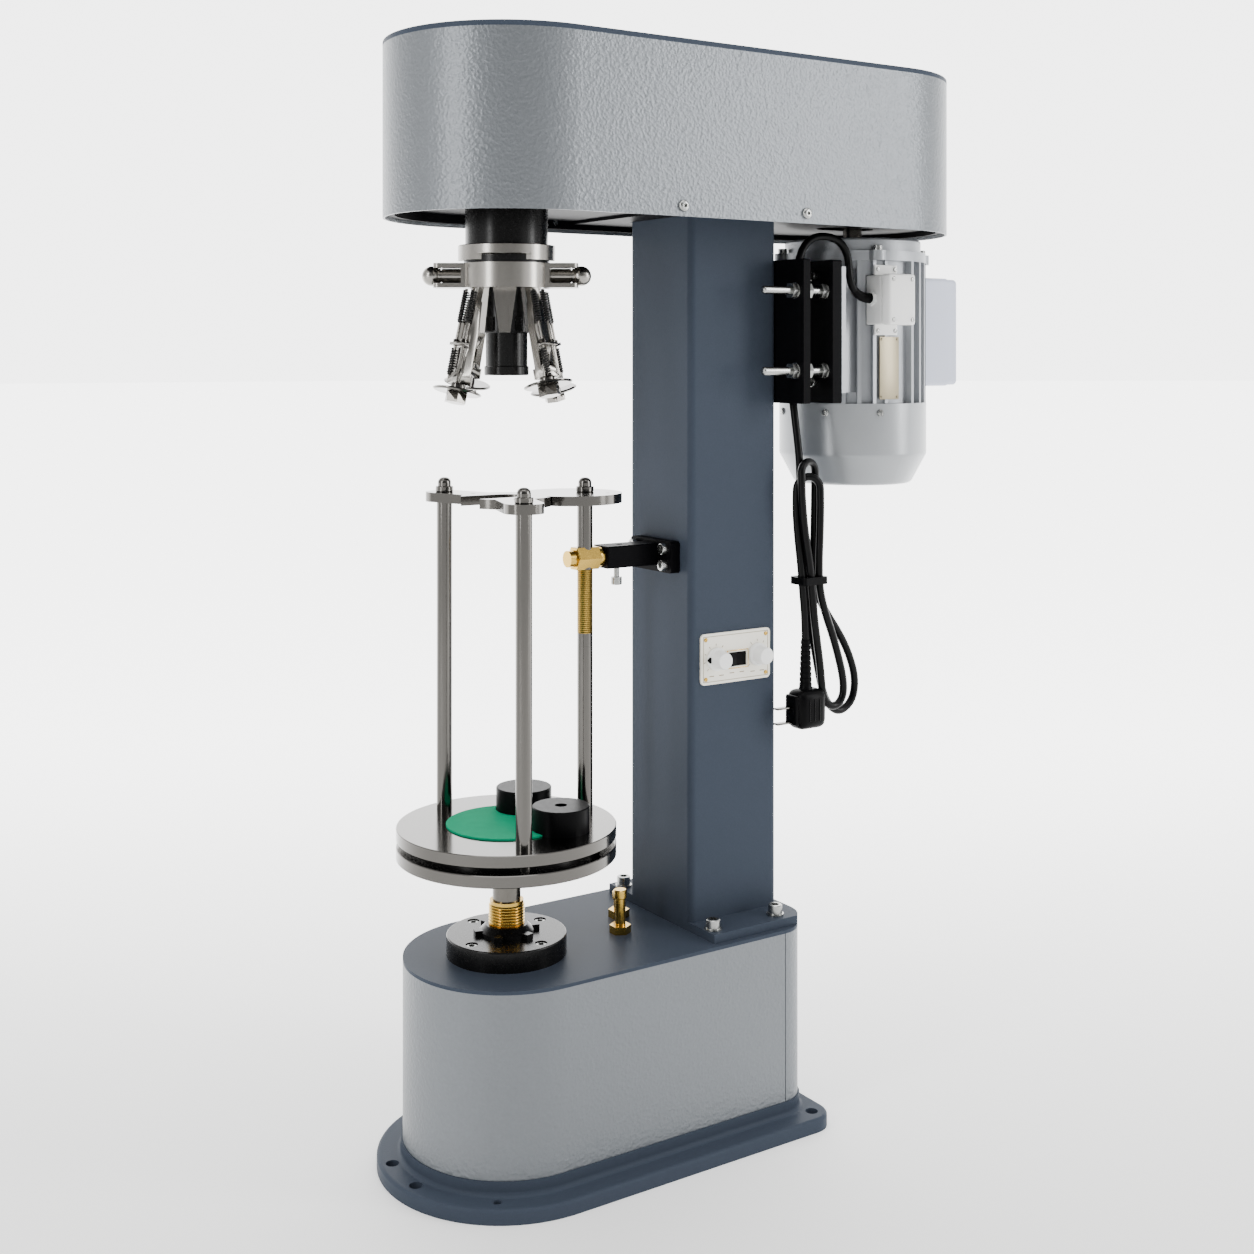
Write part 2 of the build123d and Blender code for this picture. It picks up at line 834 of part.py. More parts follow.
# Grip pad: a rubber disc let into the upper plate and cut round the two stops
def make_grip_pad():
    bottom = upper_plate_top - pad_recess
    top = bottom + pad_thickness
    pad = bar(pad_radius, bottom, top)
    pad = chamfer(pad.edges().filter_by(GeomType.CIRCLE).sort_by(Axis.Z)[-1:], pad_edge)
    for x, y in stop_places:
        pad -= bar(stop_radius + free_gap, bottom - 1, top + 1, x, y)
    return pad


def make_bottle_stop(place):
    stop = bar(stop_radius, upper_plate_top, upper_plate_top + stop_height)
    stop = chamfer(stop.edges().filter_by(GeomType.CIRCLE).sort_by(Axis.Z)[-1:], 0.8)
    stop -= bar(stop_screw_radius + seat_gap, upper_plate_top - 1, upper_plate_top + stop_height + 1)
    stop -= bar(
        stop_screw_head_radius + bolt_gap,
        upper_plate_top + stop_height - stop_counterbore_depth,
        upper_plate_top + stop_height + 1,
    )
    return Pos(*place, 0) * stop


def make_stop_screws():
    seat = upper_plate_top + stop_height - stop_counterbore_depth
    length = seat - upper_plate_bottom
    screw = socket_screw(stop_screw_radius, length, stop_screw_head_radius, stop_screw_head_height)
    return [Pos(x, y, seat) * screw for x, y in stop_places]


# Guide rods: ground bars with a tenon through each end plate
def make_guide_rod(place):
    tenon_top = neck_plate_top + nut_height - 3
    rod = bar(rod_radius, lower_plate_top, neck_plate_bottom)
    rod += bar(rod_tenon_radius, table_height, tenon_top)
    if place == rod_places[-1]:
        rod -= threaded_section(rod_radius + 1, seat_gap / 2)
    return Pos(*place, 0) * rod


def threaded_section(outer, gap):
    top = bracket_arm_z - brass_across_flats / 2
    sleeve = bar(outer, top - rod_thread_length - gap, top + gap)
    return sleeve - bar(rod_radius - rod_thread_depth + gap, 0, 2 * top)


def make_rod_thread():
    return Pos(*rod_places[-1], 0) * threaded_section(rod_radius - seat_gap / 2, 0)


# Neck plate: two arms and a rear lobe round an open notch for the bottle neck
def make_neck_plate():
    outline = Circle(neck_hub_radius)
    outline += Pos(0, neck_rear_centre_y) * Circle(neck_rear_radius)
    for x, y in rod_places[:2]:
        outline += Pos(x, y) * Circle(neck_arm_radius)
        reach = hypot(x, y)
        arm = Pos(reach / 2, 0) * Rectangle(reach, 2 * neck_arm_radius)
        outline += Rot(0, 0, degrees(atan2(y, x))) * arm
    outline -= Circle(neck_notch_radius)
    outline -= Pos(0, -neck_hub_radius) * Rectangle(2 * neck_notch_radius, 2 * neck_hub_radius)
    plate = prism(outline, neck_plate_bottom, neck_plate_top)
    for x, y in rod_places:
        plate -= bar(rod_tenon_radius + seat_gap, neck_plate_bottom - 1, neck_plate_top + 1, x, y)
    for x, y in neck_plate_holes:
        plate -= bar(neck_hole_radius, neck_plate_bottom - 1, neck_plate_top + 1, x, y)
    return plate


def make_cap_nut(place):
    base = bar(nut_base_radius, 0, nut_base_height)
    base = chamfer(base.edges().filter_by(GeomType.CIRCLE), 0.6)
    dome = bar(nut_dome_radius + 1, nut_base_height, nut_height)
    dome = fillet(dome.edges().sort_by(Axis.Z)[-1:], nut_dome_radius)
    nut = base + dome - bar(rod_tenon_radius + running_gap, -1, nut_height - 2.5)
    return Pos(*place, neck_plate_top) * nut


save("table_lower_plate", make_lower_plate())
save("table_spacer", make_table_spacer())
save("table_upper_plate", make_upper_plate())
save("table_screws", make_table_screw(), *make_stop_screws())
save("grip_pad", make_grip_pad())
save("bottle_stops", *[make_bottle_stop(place) for place in stop_places])
guide_rods = [make_guide_rod(place) for place in rod_places]
cap_nuts = [make_cap_nut(place) for place in rod_places]
save("guide_rods", *guide_rods, *cap_nuts, make_rod_thread())
save("neck_plate", make_neck_plate())


# Column: a square tube welded between a foot plate and a top flange
def make_column():
    middle = (column_front_y + column_back_y) / 2
    outer = Pos(0, middle) * RectangleRounded(column_width, column_depth, column_corner)
    inner = Pos(0, middle) * RectangleRounded(
        column_width - 2 * column_wall,
        column_depth - 2 * column_wall,
        column_corner / 2,
    )
    column = prism(outer, column_foot_top, column_top_z + column_top_flange)
    column -= prism(inner, column_foot_top - 1, column_top_z)
    footprint = d_outline(skirt_radius, skirt_back_y, skirt_corner)
    foot_area = Rectangle(2 * column_foot_half_width, 2 * column_depth)
    foot_area = Pos(0, column_front_y + column_depth) * foot_area
    column += prism(footprint & foot_area, deck_top, column_foot_top)
    for x, y in column_bolt_places():
        column -= bar(column_bolt_radius + bolt_gap, deck_top - 1, column_foot_top + 1, x, y)
    for y in knob_places:
        bush_hole = Cylinder(panel_bush_radius + free_gap, 4 * column_wall)
        column -= Pos(column_width / 2, y, knob_z) * along_x(bush_hole)
    opening_y = rocker_y
    column -= block(
        column_width / 2 - 2 * column_wall,
        column_width / 2 + 1,
        opening_y - rocker_size[0] / 2,
        opening_y + rocker_size[0] / 2,
        rocker_z - rocker_size[1] / 2,
        rocker_z + rocker_size[1] / 2,
    )
    for x, z in bracket_screw_places():
        screw_hole = Cylinder(bracket_screw_radius + seat_gap, 4 * column_wall)
        column -= Pos(x, column_front_y, z) * along_y(screw_hole)
    for x, z in mount_screw_places():
        column -= Pos(x, column_back_y, z) * along_y(Cylinder(mount_screw_radius + seat_gap, 4 * column_wall))
    for x, y in head_bolt_places():
        column -= bar(head_bolt_radius + seat_gap, column_top_z - 1, head_base_z + 1, x, y)
    return column


def head_bolt_places():
    return [(x * head_bolt_x, y) for x in (-1, 1) for y in head_bolt_rows]


def bracket_screw_places():
    return [(x * bracket_screw_x, bracket_z + z * bracket_screw_rise) for x in (-1, 1) for z in (-1, 1)]


def mount_screw_places():
    return [(x * mount_screw_x, z) for x in (-1, 1) for z in mount_screw_rows]


def make_column_bolts():
    length = column_foot_thickness + deck_cover + deck_spigot + column_washer_thickness
    screw = socket_screw(column_bolt_radius, length, column_bolt_head_radius, column_bolt_head_height)
    seat = column_foot_top + column_washer_thickness
    return [Pos(x, y, seat) * screw for x, y in column_bolt_places()]


def make_column_washers():
    washer = bar(column_washer_radius, 0, column_washer_thickness)
    washer -= bar(column_bolt_radius + seat_gap, -1, column_washer_thickness + 1)
    return [Pos(x, y, column_foot_top) * washer for x, y in column_bolt_places()]


save("column", make_column())


# Head: base plate, closing plate, cover and lid
def cover_screw_places():
    return [(side, y) for side in (-1, 1) for y in head_screw_rows]


def housing_bolt_places():
    return [
        (housing_bolt_circle * cos(radians(45 + 90 * n)), housing_bolt_circle * sin(radians(45 + 90 * n)))
        for n in range(4)
    ]


def shaft_slot():
    return stadium(shaft_slot_half_width, motor_y - shaft_slot_travel, motor_y + 4)


def make_head_base():
    radius = head_radius - head_cover_wall - seat_gap
    base = prism(stadium(radius, head_front_y, head_rear_y), head_base_z - head_rim_drop, head_base_top)
    inside = stadium(radius - head_rim_width, head_front_y, head_rear_y)
    base -= prism(inside, head_base_z - head_rim_drop - 1, head_base_z)
    base -= bar(housing_radius + seat_gap, head_base_z - 1, head_base_top + 1)
    base -= prism(shaft_slot(), head_base_z - 1, head_base_top + 1)
    for x, y in housing_bolt_places():
        base -= bar(housing_bolt_radius + seat_gap, head_base_z - 1, head_base_top + 1, x, y)
    for x, y in head_bolt_places():
        base -= bar(head_bolt_radius + seat_gap, head_base_z - 1, head_base_top + 1, x, y)
    for side, y in cover_screw_places():
        hole = Cylinder(head_screw_radius + seat_gap, 3 * head_rim_width)
        base -= Pos(side * radius, y, head_screw_z) * along_x(hole)
    return base


def make_closing_plate():
    inside = head_radius - head_cover_wall - seat_gap - head_rim_width - bolt_gap
    outline = stadium(inside, head_front_y, head_rear_y)
    keep = Pos(0, closing_front_y + head_rear_y) * Rectangle(2 * head_radius, 2 * head_rear_y)
    outline &= keep
    middle = (column_front_y + column_back_y) / 2
    outline -= Pos(0, middle) * Rectangle(column_width + 2 * bolt_gap, column_depth + 2 * bolt_gap)
    outline -= shaft_slot()
    plate = prism(outline, head_base_z - closing_thickness, head_base_z)
    return plate


def make_head_cover():
    outer = stadium(head_radius, head_front_y, head_rear_y)
    inner = stadium(head_radius - head_cover_wall, head_front_y, head_rear_y)
    cover = prism(outer, head_cover_bottom, head_cover_top)
    cover -= prism(inner, head_cover_bottom - 1, head_cover_top + 1)
    for side, y in cover_screw_places():
        hole = Cylinder(head_screw_radius + seat_gap, 4 * head_cover_wall)
        cover -= Pos(side * head_radius, y, head_screw_z) * along_x(hole)
    return cover


def make_head_lid():
    lid = prism(
        stadium(head_radius, head_front_y, head_rear_y),
        head_cover_top,
        head_cover_top + head_lid_thickness,
    )
    lid = fillet(lid.edges().group_by(Axis.Z)[-1], head_lid_edge)
    inside = head_radius - head_cover_wall - seat_gap
    spigot = stadium(inside, head_front_y, head_rear_y) - stadium(inside - 3, head_front_y, head_rear_y)
    return lid + prism(spigot, head_cover_top - head_lid_spigot, head_cover_top)


def make_cover_screws():
    length = head_cover_wall + head_rim_width
    screw = button_screw(head_screw_radius, length, head_screw_head_radius, head_screw_head_height)
    screws = []
    for side, y in cover_screw_places():
        screws.append(Pos(side * head_radius, y, head_screw_z) * Rot(0, 90 * side, 0) * screw)
    return screws


# Spindle cartridge: housing with two bearings, ring nut, hollow shaft and pulley
def make_spindle_housing():
    housing = turned(
        (housing_bore, ring_nut_bottom),
        (housing_thread_radius, ring_nut_bottom),
        (housing_thread_radius, housing_bottom),
        (housing_radius, housing_bottom),
        (housing_radius, head_base_top),
        (housing_flange_radius, head_base_top),
        (housing_flange_radius, head_base_top + housing_flange_thickness),
        (housing_radius, head_base_top + housing_flange_thickness),
        (housing_radius, housing_top),
        (bearing_radius + running_gap, housing_top),
        (bearing_radius + running_gap, housing_top - bearing_height),
        (housing_bore, housing_top - bearing_height),
        (housing_bore, bearing_seat_z + bearing_height),
        (bearing_radius + running_gap, bearing_seat_z + bearing_height),
        (bearing_radius + running_gap, bearing_seat_z),
        (housing_bore, bearing_seat_z),
    )
    for x, y in housing_bolt_places():
        top = head_base_top + housing_flange_thickness
        housing -= bar(housing_bolt_radius + seat_gap, head_base_top - 1, top + 1, x, y)
    return housing


def make_bearings():
    ring = bar(bearing_radius, 0, bearing_height) - bar(shaft_radius + running_gap, -1, bearing_height + 1)
    ring = chamfer(ring.edges().filter_by(GeomType.CIRCLE), 0.6)
    return [Pos(0, 0, bearing_seat_z) * ring, Pos(0, 0, housing_top - bearing_height) * ring]


def make_ring_nut():
    top = ring_nut_bottom + ring_nut_height
    nut = bar(ring_nut_radius, ring_nut_bottom, top)
    nut = chamfer(nut.edges().filter_by(GeomType.CIRCLE), 0.6)
    lug_inner = collar_radius + bolt_gap
    lug = bar(ring_nut_radius, ring_nut_bottom - ring_nut_lug_drop, ring_nut_bottom + 1)
    lug -= bar(lug_inner, ring_nut_bottom - ring_nut_lug_drop - 1, ring_nut_bottom + 2)
    half_width = ring_nut_lug_width / 2
    sector = block(0, 2 * ring_nut_radius, -half_width, half_width, 0, 2 * ring_nut_bottom)
    for n in range(ring_nut_lugs):
        nut += lug & (Rot(0, 0, ring_nut_lug_turn + 360 / ring_nut_lugs * n) * sector)
    return nut - bar(housing_thread_radius + running_gap, ring_nut_bottom - 10, top + 1)


def make_spindle_shaft():
    shaft = turned(
        (stem_radius + running_gap, shaft_bottom),
        (shaft_radius, shaft_bottom),
        (shaft_radius, shaft_top),
        (0, shaft_top),
        (0, stem_bore_top),
        (stem_radius + running_gap, stem_bore_top),
    )
    collar = turned(
        (shaft_radius, yoke_top),
        (collar_radius, yoke_top),
        (collar_radius, yoke_top + collar_height),
        (shaft_radius, yoke_top + collar_height),
    )
    return shaft + collar


def make_pulley(radius, bore, y):
    half = pulley_height / 2
    pulley = turned(
        (bore + running_gap, -half),
        (radius + 3, -half),
        (radius + 3, -groove_mouth / 2 - 2),
        (radius - groove_depth, -groove_mouth / 2 + 3),
        (radius - groove_depth, groove_mouth / 2 - 3),
        (radius + 3, groove_mouth / 2 + 2),
        (radius + 3, half),
        (bore + running_gap, half),
    )
    return Pos(0, y, pulley_bottom + half) * pulley


def make_drive_belt():
    spindle_inner = spindle_pulley_radius - belt_thickness / 2
    motor_inner = motor_pulley_radius - belt_thickness / 2
    outer = belt_loop(spindle_inner + belt_thickness, motor_inner + belt_thickness)
    inner = belt_loop(spindle_inner, motor_inner)
    middle = pulley_bottom + pulley_height / 2
    return prism(outer - inner, middle - belt_width / 2, middle + belt_width / 2)


def belt_loop(front_radius, rear_radius):
    lean = asin((front_radius - rear_radius) / motor_y)
    corners = [
        (front_radius * cos(lean), front_radius * sin(lean)),
        (rear_radius * cos(lean), motor_y + rear_radius * sin(lean)),
        (-rear_radius * cos(lean), motor_y + rear_radius * sin(lean)),
        (-front_radius * cos(lean), front_radius * sin(lean)),
    ]
    band = make_face(Polyline(*corners, close=True))
    return band + Circle(front_radius) + Pos(0, motor_y) * Circle(rear_radius)


save("head_base", make_head_base())
save("closing_plate", make_closing_plate())
save("head_cover", make_head_cover())
save("head_lid", make_head_lid())
save("cover_screws", *make_cover_screws())
save("spindle_housing", make_spindle_housing(), *make_bearings())
save("ring_nut", make_ring_nut())
save("spindle_shaft", make_spindle_shaft())
save("spindle_pulley", make_pulley(spindle_pulley_radius, shaft_radius, 0))
save("drive_belt", make_drive_belt())


# Capping head: yoke with two ball knobs, cone sleeve, sprung chuck
def make_yoke():
    bottom = yoke_top - yoke_height
    yoke = bar(yoke_hub_radius, bottom, yoke_top)
    ears = block(-yoke_ear_reach, yoke_ear_reach, -yoke_ear_width / 2, yoke_ear_width / 2, bottom, yoke_top)
    ears = fillet(ears.edges().filter_by(Axis.Z), 5)
    middle = yoke_top - yoke_height / 2
    slot = block(
        yoke_hub_radius,
        yoke_ear_reach + 1,
        -yoke_ear_width,
        yoke_ear_width,
        middle - yoke_ear_slot / 2,
        middle + yoke_ear_slot / 2,
    )
    ears -= slot
    ears -= Rot(0, 0, 180) * slot
    yoke += ears
    pin = Pos(0, 0, middle) * along_x(Cylinder(knob_tail_radius + seat_gap, 3 * yoke_ear_reach))
    yoke -= pin
    yoke = Rot(0, 0, ear_turn) * yoke
    for n in range(arm_count):
        pocket = block(
            arm_pocket_inner,
            arm_pocket_outer,
            -arm_pocket_half_width,
            arm_pocket_half_width,
            bottom - 1,
            arm_pocket_top,
        )
        pin_hole = Pos(arm_pivot_reach, 0, arm_pivot_z) * along_y(Cylinder(arm_pin_radius, arm_pin_length))
        yoke -= Rot(0, 0, arm_turn(n)) * (pocket + pin_hole)
    return yoke - bar(shaft_radius + seat_gap, bottom - 1, yoke_top + 1)


def arm_turn(n):
    return arm_first_turn + 360 / arm_count * n


def make_yoke_knobs():
    middle = yoke_top - yoke_height / 2
    knob = along_x(bar(knob_pin_radius, yoke_hub_radius + 0.2, knob_ball_reach))
    knob += along_x(bar(knob_tail_radius, shaft_radius + 3, yoke_hub_radius + 1))
    knob += Pos(knob_ball_reach, 0, 0) * Sphere(knob_ball_radius)
    groove = bar(2 * knob_pin_radius, knob_ball_reach - 9, knob_ball_reach - 8)
    knob -= along_x(groove) - along_x(
        bar(knob_pin_radius - knob_groove_depth, knob_ball_reach - 10, knob_ball_reach - 7)
    )
    knob = Pos(0, 0, middle) * knob
    return [Rot(0, 0, ear_turn) * knob, Rot(0, 0, ear_turn + 180) * knob]


def make_arm_pins():
    pin = Pos(arm_pivot_reach, 0, arm_pivot_z) * along_y(Cylinder(arm_pin_radius, arm_pin_length - 0.4))
    return [Rot(0, 0, arm_turn(n)) * pin for n in range(arm_count)]


def make_cone_sleeve():
    top = yoke_top - yoke_height
    bore = chuck_radius + running_gap
    sleeve = turned(
        (shaft_radius + seat_gap, top),
        (cone_radius, top),
        (cone_radius, cone_bottom + 1),
        (cone_radius - 1, cone_bottom),
        (bore, cone_bottom),
        (bore, shaft_bottom),
        (shaft_radius + seat_gap, shaft_bottom),
    )
    top_reach, bottom_reach = cone_facet_reach
    facet = extrude(
        Plane.XZ
        * make_face(
            Polyline(
                (top_reach, top),
                (bottom_reach, cone_bottom),
                (bottom_reach - (top_reach - bottom_reach) / (top - cone_bottom), cone_bottom - 1),
                (2 * cone_radius, cone_bottom - 1),
                (2 * cone_radius, top),
                close=True,
            )
        ),
        cone_radius,
        both=True,
    )
    fin = block(
        (bottom_reach + bore) / 2,
        cone_fin_reach,
        -cone_fin_width / 2,
        cone_fin_width / 2,
        *cone_fin_z,
    )
    for n in range(cone_facets):
        turn = cone_facet_turn + 360 / cone_facets * n
        sleeve -= Rot(0, 0, turn) * facet
        sleeve += Rot(0, 0, turn + 180 / cone_facets) * fin
    return sleeve


def make_chuck():
    return turned(
        (0, chuck_bottom + 3),
        (chuck_radius - 4, chuck_bottom + 3),
        (chuck_radius - 4, chuck_bottom),
        (chuck_rim_radius - 0.8, chuck_bottom),
        (chuck_rim_radius, chuck_bottom + 0.8),
        (chuck_rim_radius, chuck_rim_z - 0.8),
        (chuck_rim_radius - 0.8, chuck_rim_z),
        (chuck_radius, chuck_rim_z),
        (chuck_radius, chuck_head_top),
        (stem_radius, chuck_head_top),
        (stem_radius, stem_top),
        (0, stem_top),
    )


def make_chuck_spring():
    spring = bar(chuck_radius - 3, chuck_head_top, shaft_bottom - seat_gap)
    return spring - bar(stem_radius + 3, chuck_head_top - 1, shaft_bottom + 1)


# Roller arm, built hanging from its pivot with +X outward, then leaned out
def place_on_arm(shape, n):
    return Rot(0, 0, arm_turn(n)) * Pos(arm_pivot_reach, 0, arm_pivot_z) * Rot(0, -arm_lean, 0) * shape


def roller_drop(n):
    return tuck_roller_drop if n % 2 else thread_roller_drop


def make_arm(n):
    drop = roller_drop(n)
    half = arm_blade_width / 2
    neck_half = arm_neck_width / 2
    foot = -(drop - roller_hub_height)
    eye = along_y(Cylinder(arm_eye_radius, arm_neck_width))
    neck = block(
        -arm_neck_thickness / 2,
        arm_neck_thickness / 2,
        -neck_half,
        neck_half,
        -arm_neck_length,
        0,
    )
    face = Polyline(
        (-neck_half, -arm_neck_length + 6),
        (neck_half, -arm_neck_length + 6),
        (half, -arm_neck_length - 22),
        (half, foot),
        (-half, foot),
        (-half, -arm_neck_length - 22),
        close=True,
    )
    blade = Pos(-arm_blade_thickness / 2, 0, 0) * extrude(Plane.YZ * make_face(face), arm_blade_thickness)
    slot = Plane.YZ * (Pos(0, foot + 22) * SlotOverall(13, 4, rotation=90))
    blade -= Pos(-arm_blade_thickness, 0, 0) * extrude(slot, 2 * arm_blade_thickness)
    boss = block(-half, half, -half, half, foot, foot + 9)
    boss = fillet(boss.edges().filter_by(Axis.Z), 3)
    tab = block(
        0,
        spring_offset + spring_radius + 1,
        -spring_spread - spring_radius,
        spring_spread + spring_radius,
        spring_tab_drop,
        spring_tab_drop + spring_tab_thickness,
    )
    for side in (-1, 1):
        tab += Pos(spring_offset, side * spring_spread, 0) * bar(
            spring_rod_radius + 1.4,
            spring_tab_drop,
            spring_tab_drop + spring_tab_thickness + 3,
        )
    body = eye + neck + blade + boss + tab
    body -= along_y(Cylinder(arm_pin_radius + running_gap, 3 * arm_neck_width))
    body -= bar(roller_bolt_radius + seat_gap / 2, foot - 1, foot + 16)
    rod_holes = [
        bar(
            spring_rod_radius + seat_gap / 2,
            spring_tab_drop - 1,
            spring_tab_drop + 8,
            spring_offset,
            side * spring_spread,
        )
        for side in (-1, 1)
    ]
    for hole in rod_holes:
        body -= hole
    pieces = [body, make_roller_bolt(drop)]
    for side in (-1, 1):
        pieces += make_spring_rod(side)
    return [place_on_arm(piece, n) for piece in pieces]


def make_spring_rod(side):
    x = spring_offset
    y = side * spring_spread
    rod = bar(spring_rod_radius, lower_spring[0] + 1, upper_spring[1] + 1, x, y)
    upper = bar(spring_radius, upper_spring[0], upper_spring[1], x, y)
    upper -= bar(spring_core_radius, upper_spring[0] - 1, upper_spring[1] + 1, x, y)
    pieces = [rod, upper]
    if side < 0:
        lower = bar(spring_radius, lower_spring[0], lower_spring[1], x, y)
        pieces.append(lower - bar(spring_core_radius, lower_spring[0] - 1, lower_spring[1] + 1, x, y))
    return pieces


def make_roller_bolt(drop):
    under = -(drop + roller_thickness / 2 + free_gap)
    bolt = bar(roller_bolt_radius, under, -(drop - roller_hub_height) + 14)
    head = Pos(0, 0, under - roller_bolt_head) * extrude(
        RegularPolygon(roller_bolt_across_flats / 2, 6, major_radius=False), roller_bolt_head
    )
    return bolt + head


def make_roller(n):
    drop = roller_drop(n)
    half = roller_thickness / 2
    edge = 0.5 if n % 2 else 0.9
    roller = turned(
        (roller_bolt_radius + running_gap, -half),
        (roller_radius - 1.6, -half),
        (roller_radius, -edge / 2),
        (roller_radius, edge / 2),
        (roller_radius - 1.6, half),
        (roller_hub_radius, half),
        (roller_hub_radius, roller_hub_height - free_gap),
        (roller_bolt_radius + running_gap, roller_hub_height - free_gap),
    )
    return place_on_arm(Pos(0, 0, -drop) * roller, n)


save("yoke", make_yoke(), *make_yoke_knobs(), *make_arm_pins())
save("cone_sleeve", make_cone_sleeve())
save("chuck", make_chuck())
save("chuck_spring", make_chuck_spring())
for n in range(arm_count):
    save(f"arm_{n + 1}", *make_arm(n))
    save(f"roller_{n + 1}", make_roller(n))


# Motor: ribbed body with feet, end bell, rotor with fan and pulley, fan cover
def motor_bar(radius, z0, z1):
    return bar(radius, z0, z1, 0, motor_y)


def make_motor_body():
    outline = Circle(motor_core_radius)
    rib = Pos((motor_core_radius + motor_radius) / 2 - 1, 0) * Rectangle(
        motor_radius - motor_core_radius + 2, motor_rib_width
    )
    outline += [Rot(0, 0, 360 / motor_ribs * n) * rib for n in range(motor_ribs)]
    body = Pos(0, motor_y, 0) * prism(outline, motor_bottom, motor_top)
    feet = block(
        -foot_half_width,
        foot_half_width,
        tension_plate_back_y,
        tension_plate_back_y + foot_depth,
        foot_bottom,
        foot_top,
    )
    web = block(
        -motor_core_radius + 14,
        motor_core_radius - 14,
        tension_plate_back_y + foot_depth - 1,
        motor_y - motor_core_radius * 0.5,
        foot_bottom,
        foot_top,
    )
    channel = block(
        -foot_channel_half_width,
        foot_channel_half_width,
        tension_plate_back_y - 1,
        tension_plate_back_y + foot_depth * 0.6,
        foot_bottom - 1,
        foot_top + 1,
    )
    body += feet + web - channel
    back = capacitor_box_side[1][0]
    pad = capacitor_pad_half_width
    body += block(-pad, pad, motor_y + motor_core_radius - 5, back, *capacitor_pad_z)
    body -= block(motor_flat_x, motor_radius + 1, *motor_flat_y, motor_bottom - 1, motor_top + 1)
    (x0, _), (y0, y1), (z0, z1) = terminal_box_side
    body -= block(
        x0 - seat_gap,
        motor_radius + 1,
        y0 - seat_gap,
        y1 + seat_gap,
        z0 - seat_gap,
        z1 + seat_gap,
    )
    body -= motor_bar(rotor_radius + rotor_air_gap, motor_bottom + motor_floor, motor_top + 1)
    body -= motor_bar(motor_shaft_radius + running_gap, motor_bottom - 1, motor_top + 1)
    for x, z in foot_screw_places():
        screw_hole = Cylinder(foot_screw_radius + seat_gap, 2 * foot_depth - 8)
        body -= Pos(x, tension_plate_back_y, z) * along_y(screw_hole)
    return body


def foot_screw_places():
    return [(x * foot_screw_x, z) for x in (-1, 1) for z in foot_screw_rows]


def make_end_bell():
    bell = bar(motor_radius, motor_top, bell_step_z)
    upper = bar(bell_upper_radius, bell_step_z, bell_top)
    bell += fillet(upper.edges().sort_by(Axis.Z)[-1:], 2.5)
    for n in range(4):
        lug = block(
            motor_radius - 12,
            bell_lug_reach - bell_lug_width / 2,
            -bell_lug_width / 2,
            bell_lug_width / 2,
            motor_top,
            bell_step_z,
        )
        lug += bar(bell_lug_width / 2, motor_top, bell_step_z, bell_lug_reach - bell_lug_width / 2)
        lug -= bar(
            bell_screw_radius + seat_gap,
            motor_top - 1,
            bell_step_z + 1,
            bell_lug_reach - bell_lug_width / 2,
        )
        bell += Rot(0, 0, bell_lug_turn + 90 * n) * lug
    bell -= bar(motor_shaft_radius + running_gap, motor_top - 1, bell_top + 1)
    for n in range(4):
        bell -= Rot(0, 0, bell_lug_turn + 90 * n) * bar(
            bell_screw_radius + seat_gap,
            motor_top - 1,
            bell_step_z + 1,
            bell_lug_reach - bell_lug_width / 2,
        )
    return Pos(0, motor_y, 0) * bell


def make_motor_rotor():
    rotor = bar(motor_shaft_radius, fan_bottom, pulley_bottom + pulley_height)
    return Pos(0, motor_y, 0) * (rotor + bar(rotor_radius, rotor_bottom, rotor_top))


def make_fan():
    fan = bar(fan_hub_radius, fan_bottom, fan_top)
    for n in range(fan_blades):
        blade = block(fan_hub_radius - 2, fan_radius, -1.5, 1.5, fan_bottom, fan_top)
        fan += Rot(0, 0, 360 / fan_blades * n) * blade
    fan -= bar(motor_shaft_radius + running_gap, fan_bottom - 1, fan_top + 1)
    return Pos(0, motor_y, 0) * fan


def make_fan_cover():
    wall = fan_cover_wall
    cover = turned(
        (fan_cover_radius, motor_bottom),
        (fan_cover_radius, fan_cover_cone_z),
        (fan_cover_foot_radius, fan_cover_bottom),
        (0, fan_cover_bottom),
        (0, fan_cover_bottom + wall),
        (fan_cover_foot_radius - 1, fan_cover_bottom + wall),
        (fan_cover_radius - wall, fan_cover_cone_z + 0.5),
        (fan_cover_radius - wall, motor_bottom),
    )
    corners = cover.edges().filter_by(GeomType.CIRCLE).filter_by(
        lambda e: abs(e.radius - fan_cover_foot_radius) < 0.1 or abs(e.radius - fan_cover_radius) < 0.1
    )
    cover = fillet([e for e in corners if e.center().Z < motor_bottom - 1], 6)
    for n in range(fan_cover_slots):
        middle = (fan_slot_reach[0] + fan_slot_reach[1]) / 2
        length = fan_slot_reach[1] - fan_slot_reach[0]
        slot = Pos(middle, 0, fan_cover_bottom) * Box(length, fan_slot_width, 3 * wall)
        cover -= Rot(0, 0, 360 / fan_cover_slots * n) * slot
    return Pos(0, motor_y, 0) * cover


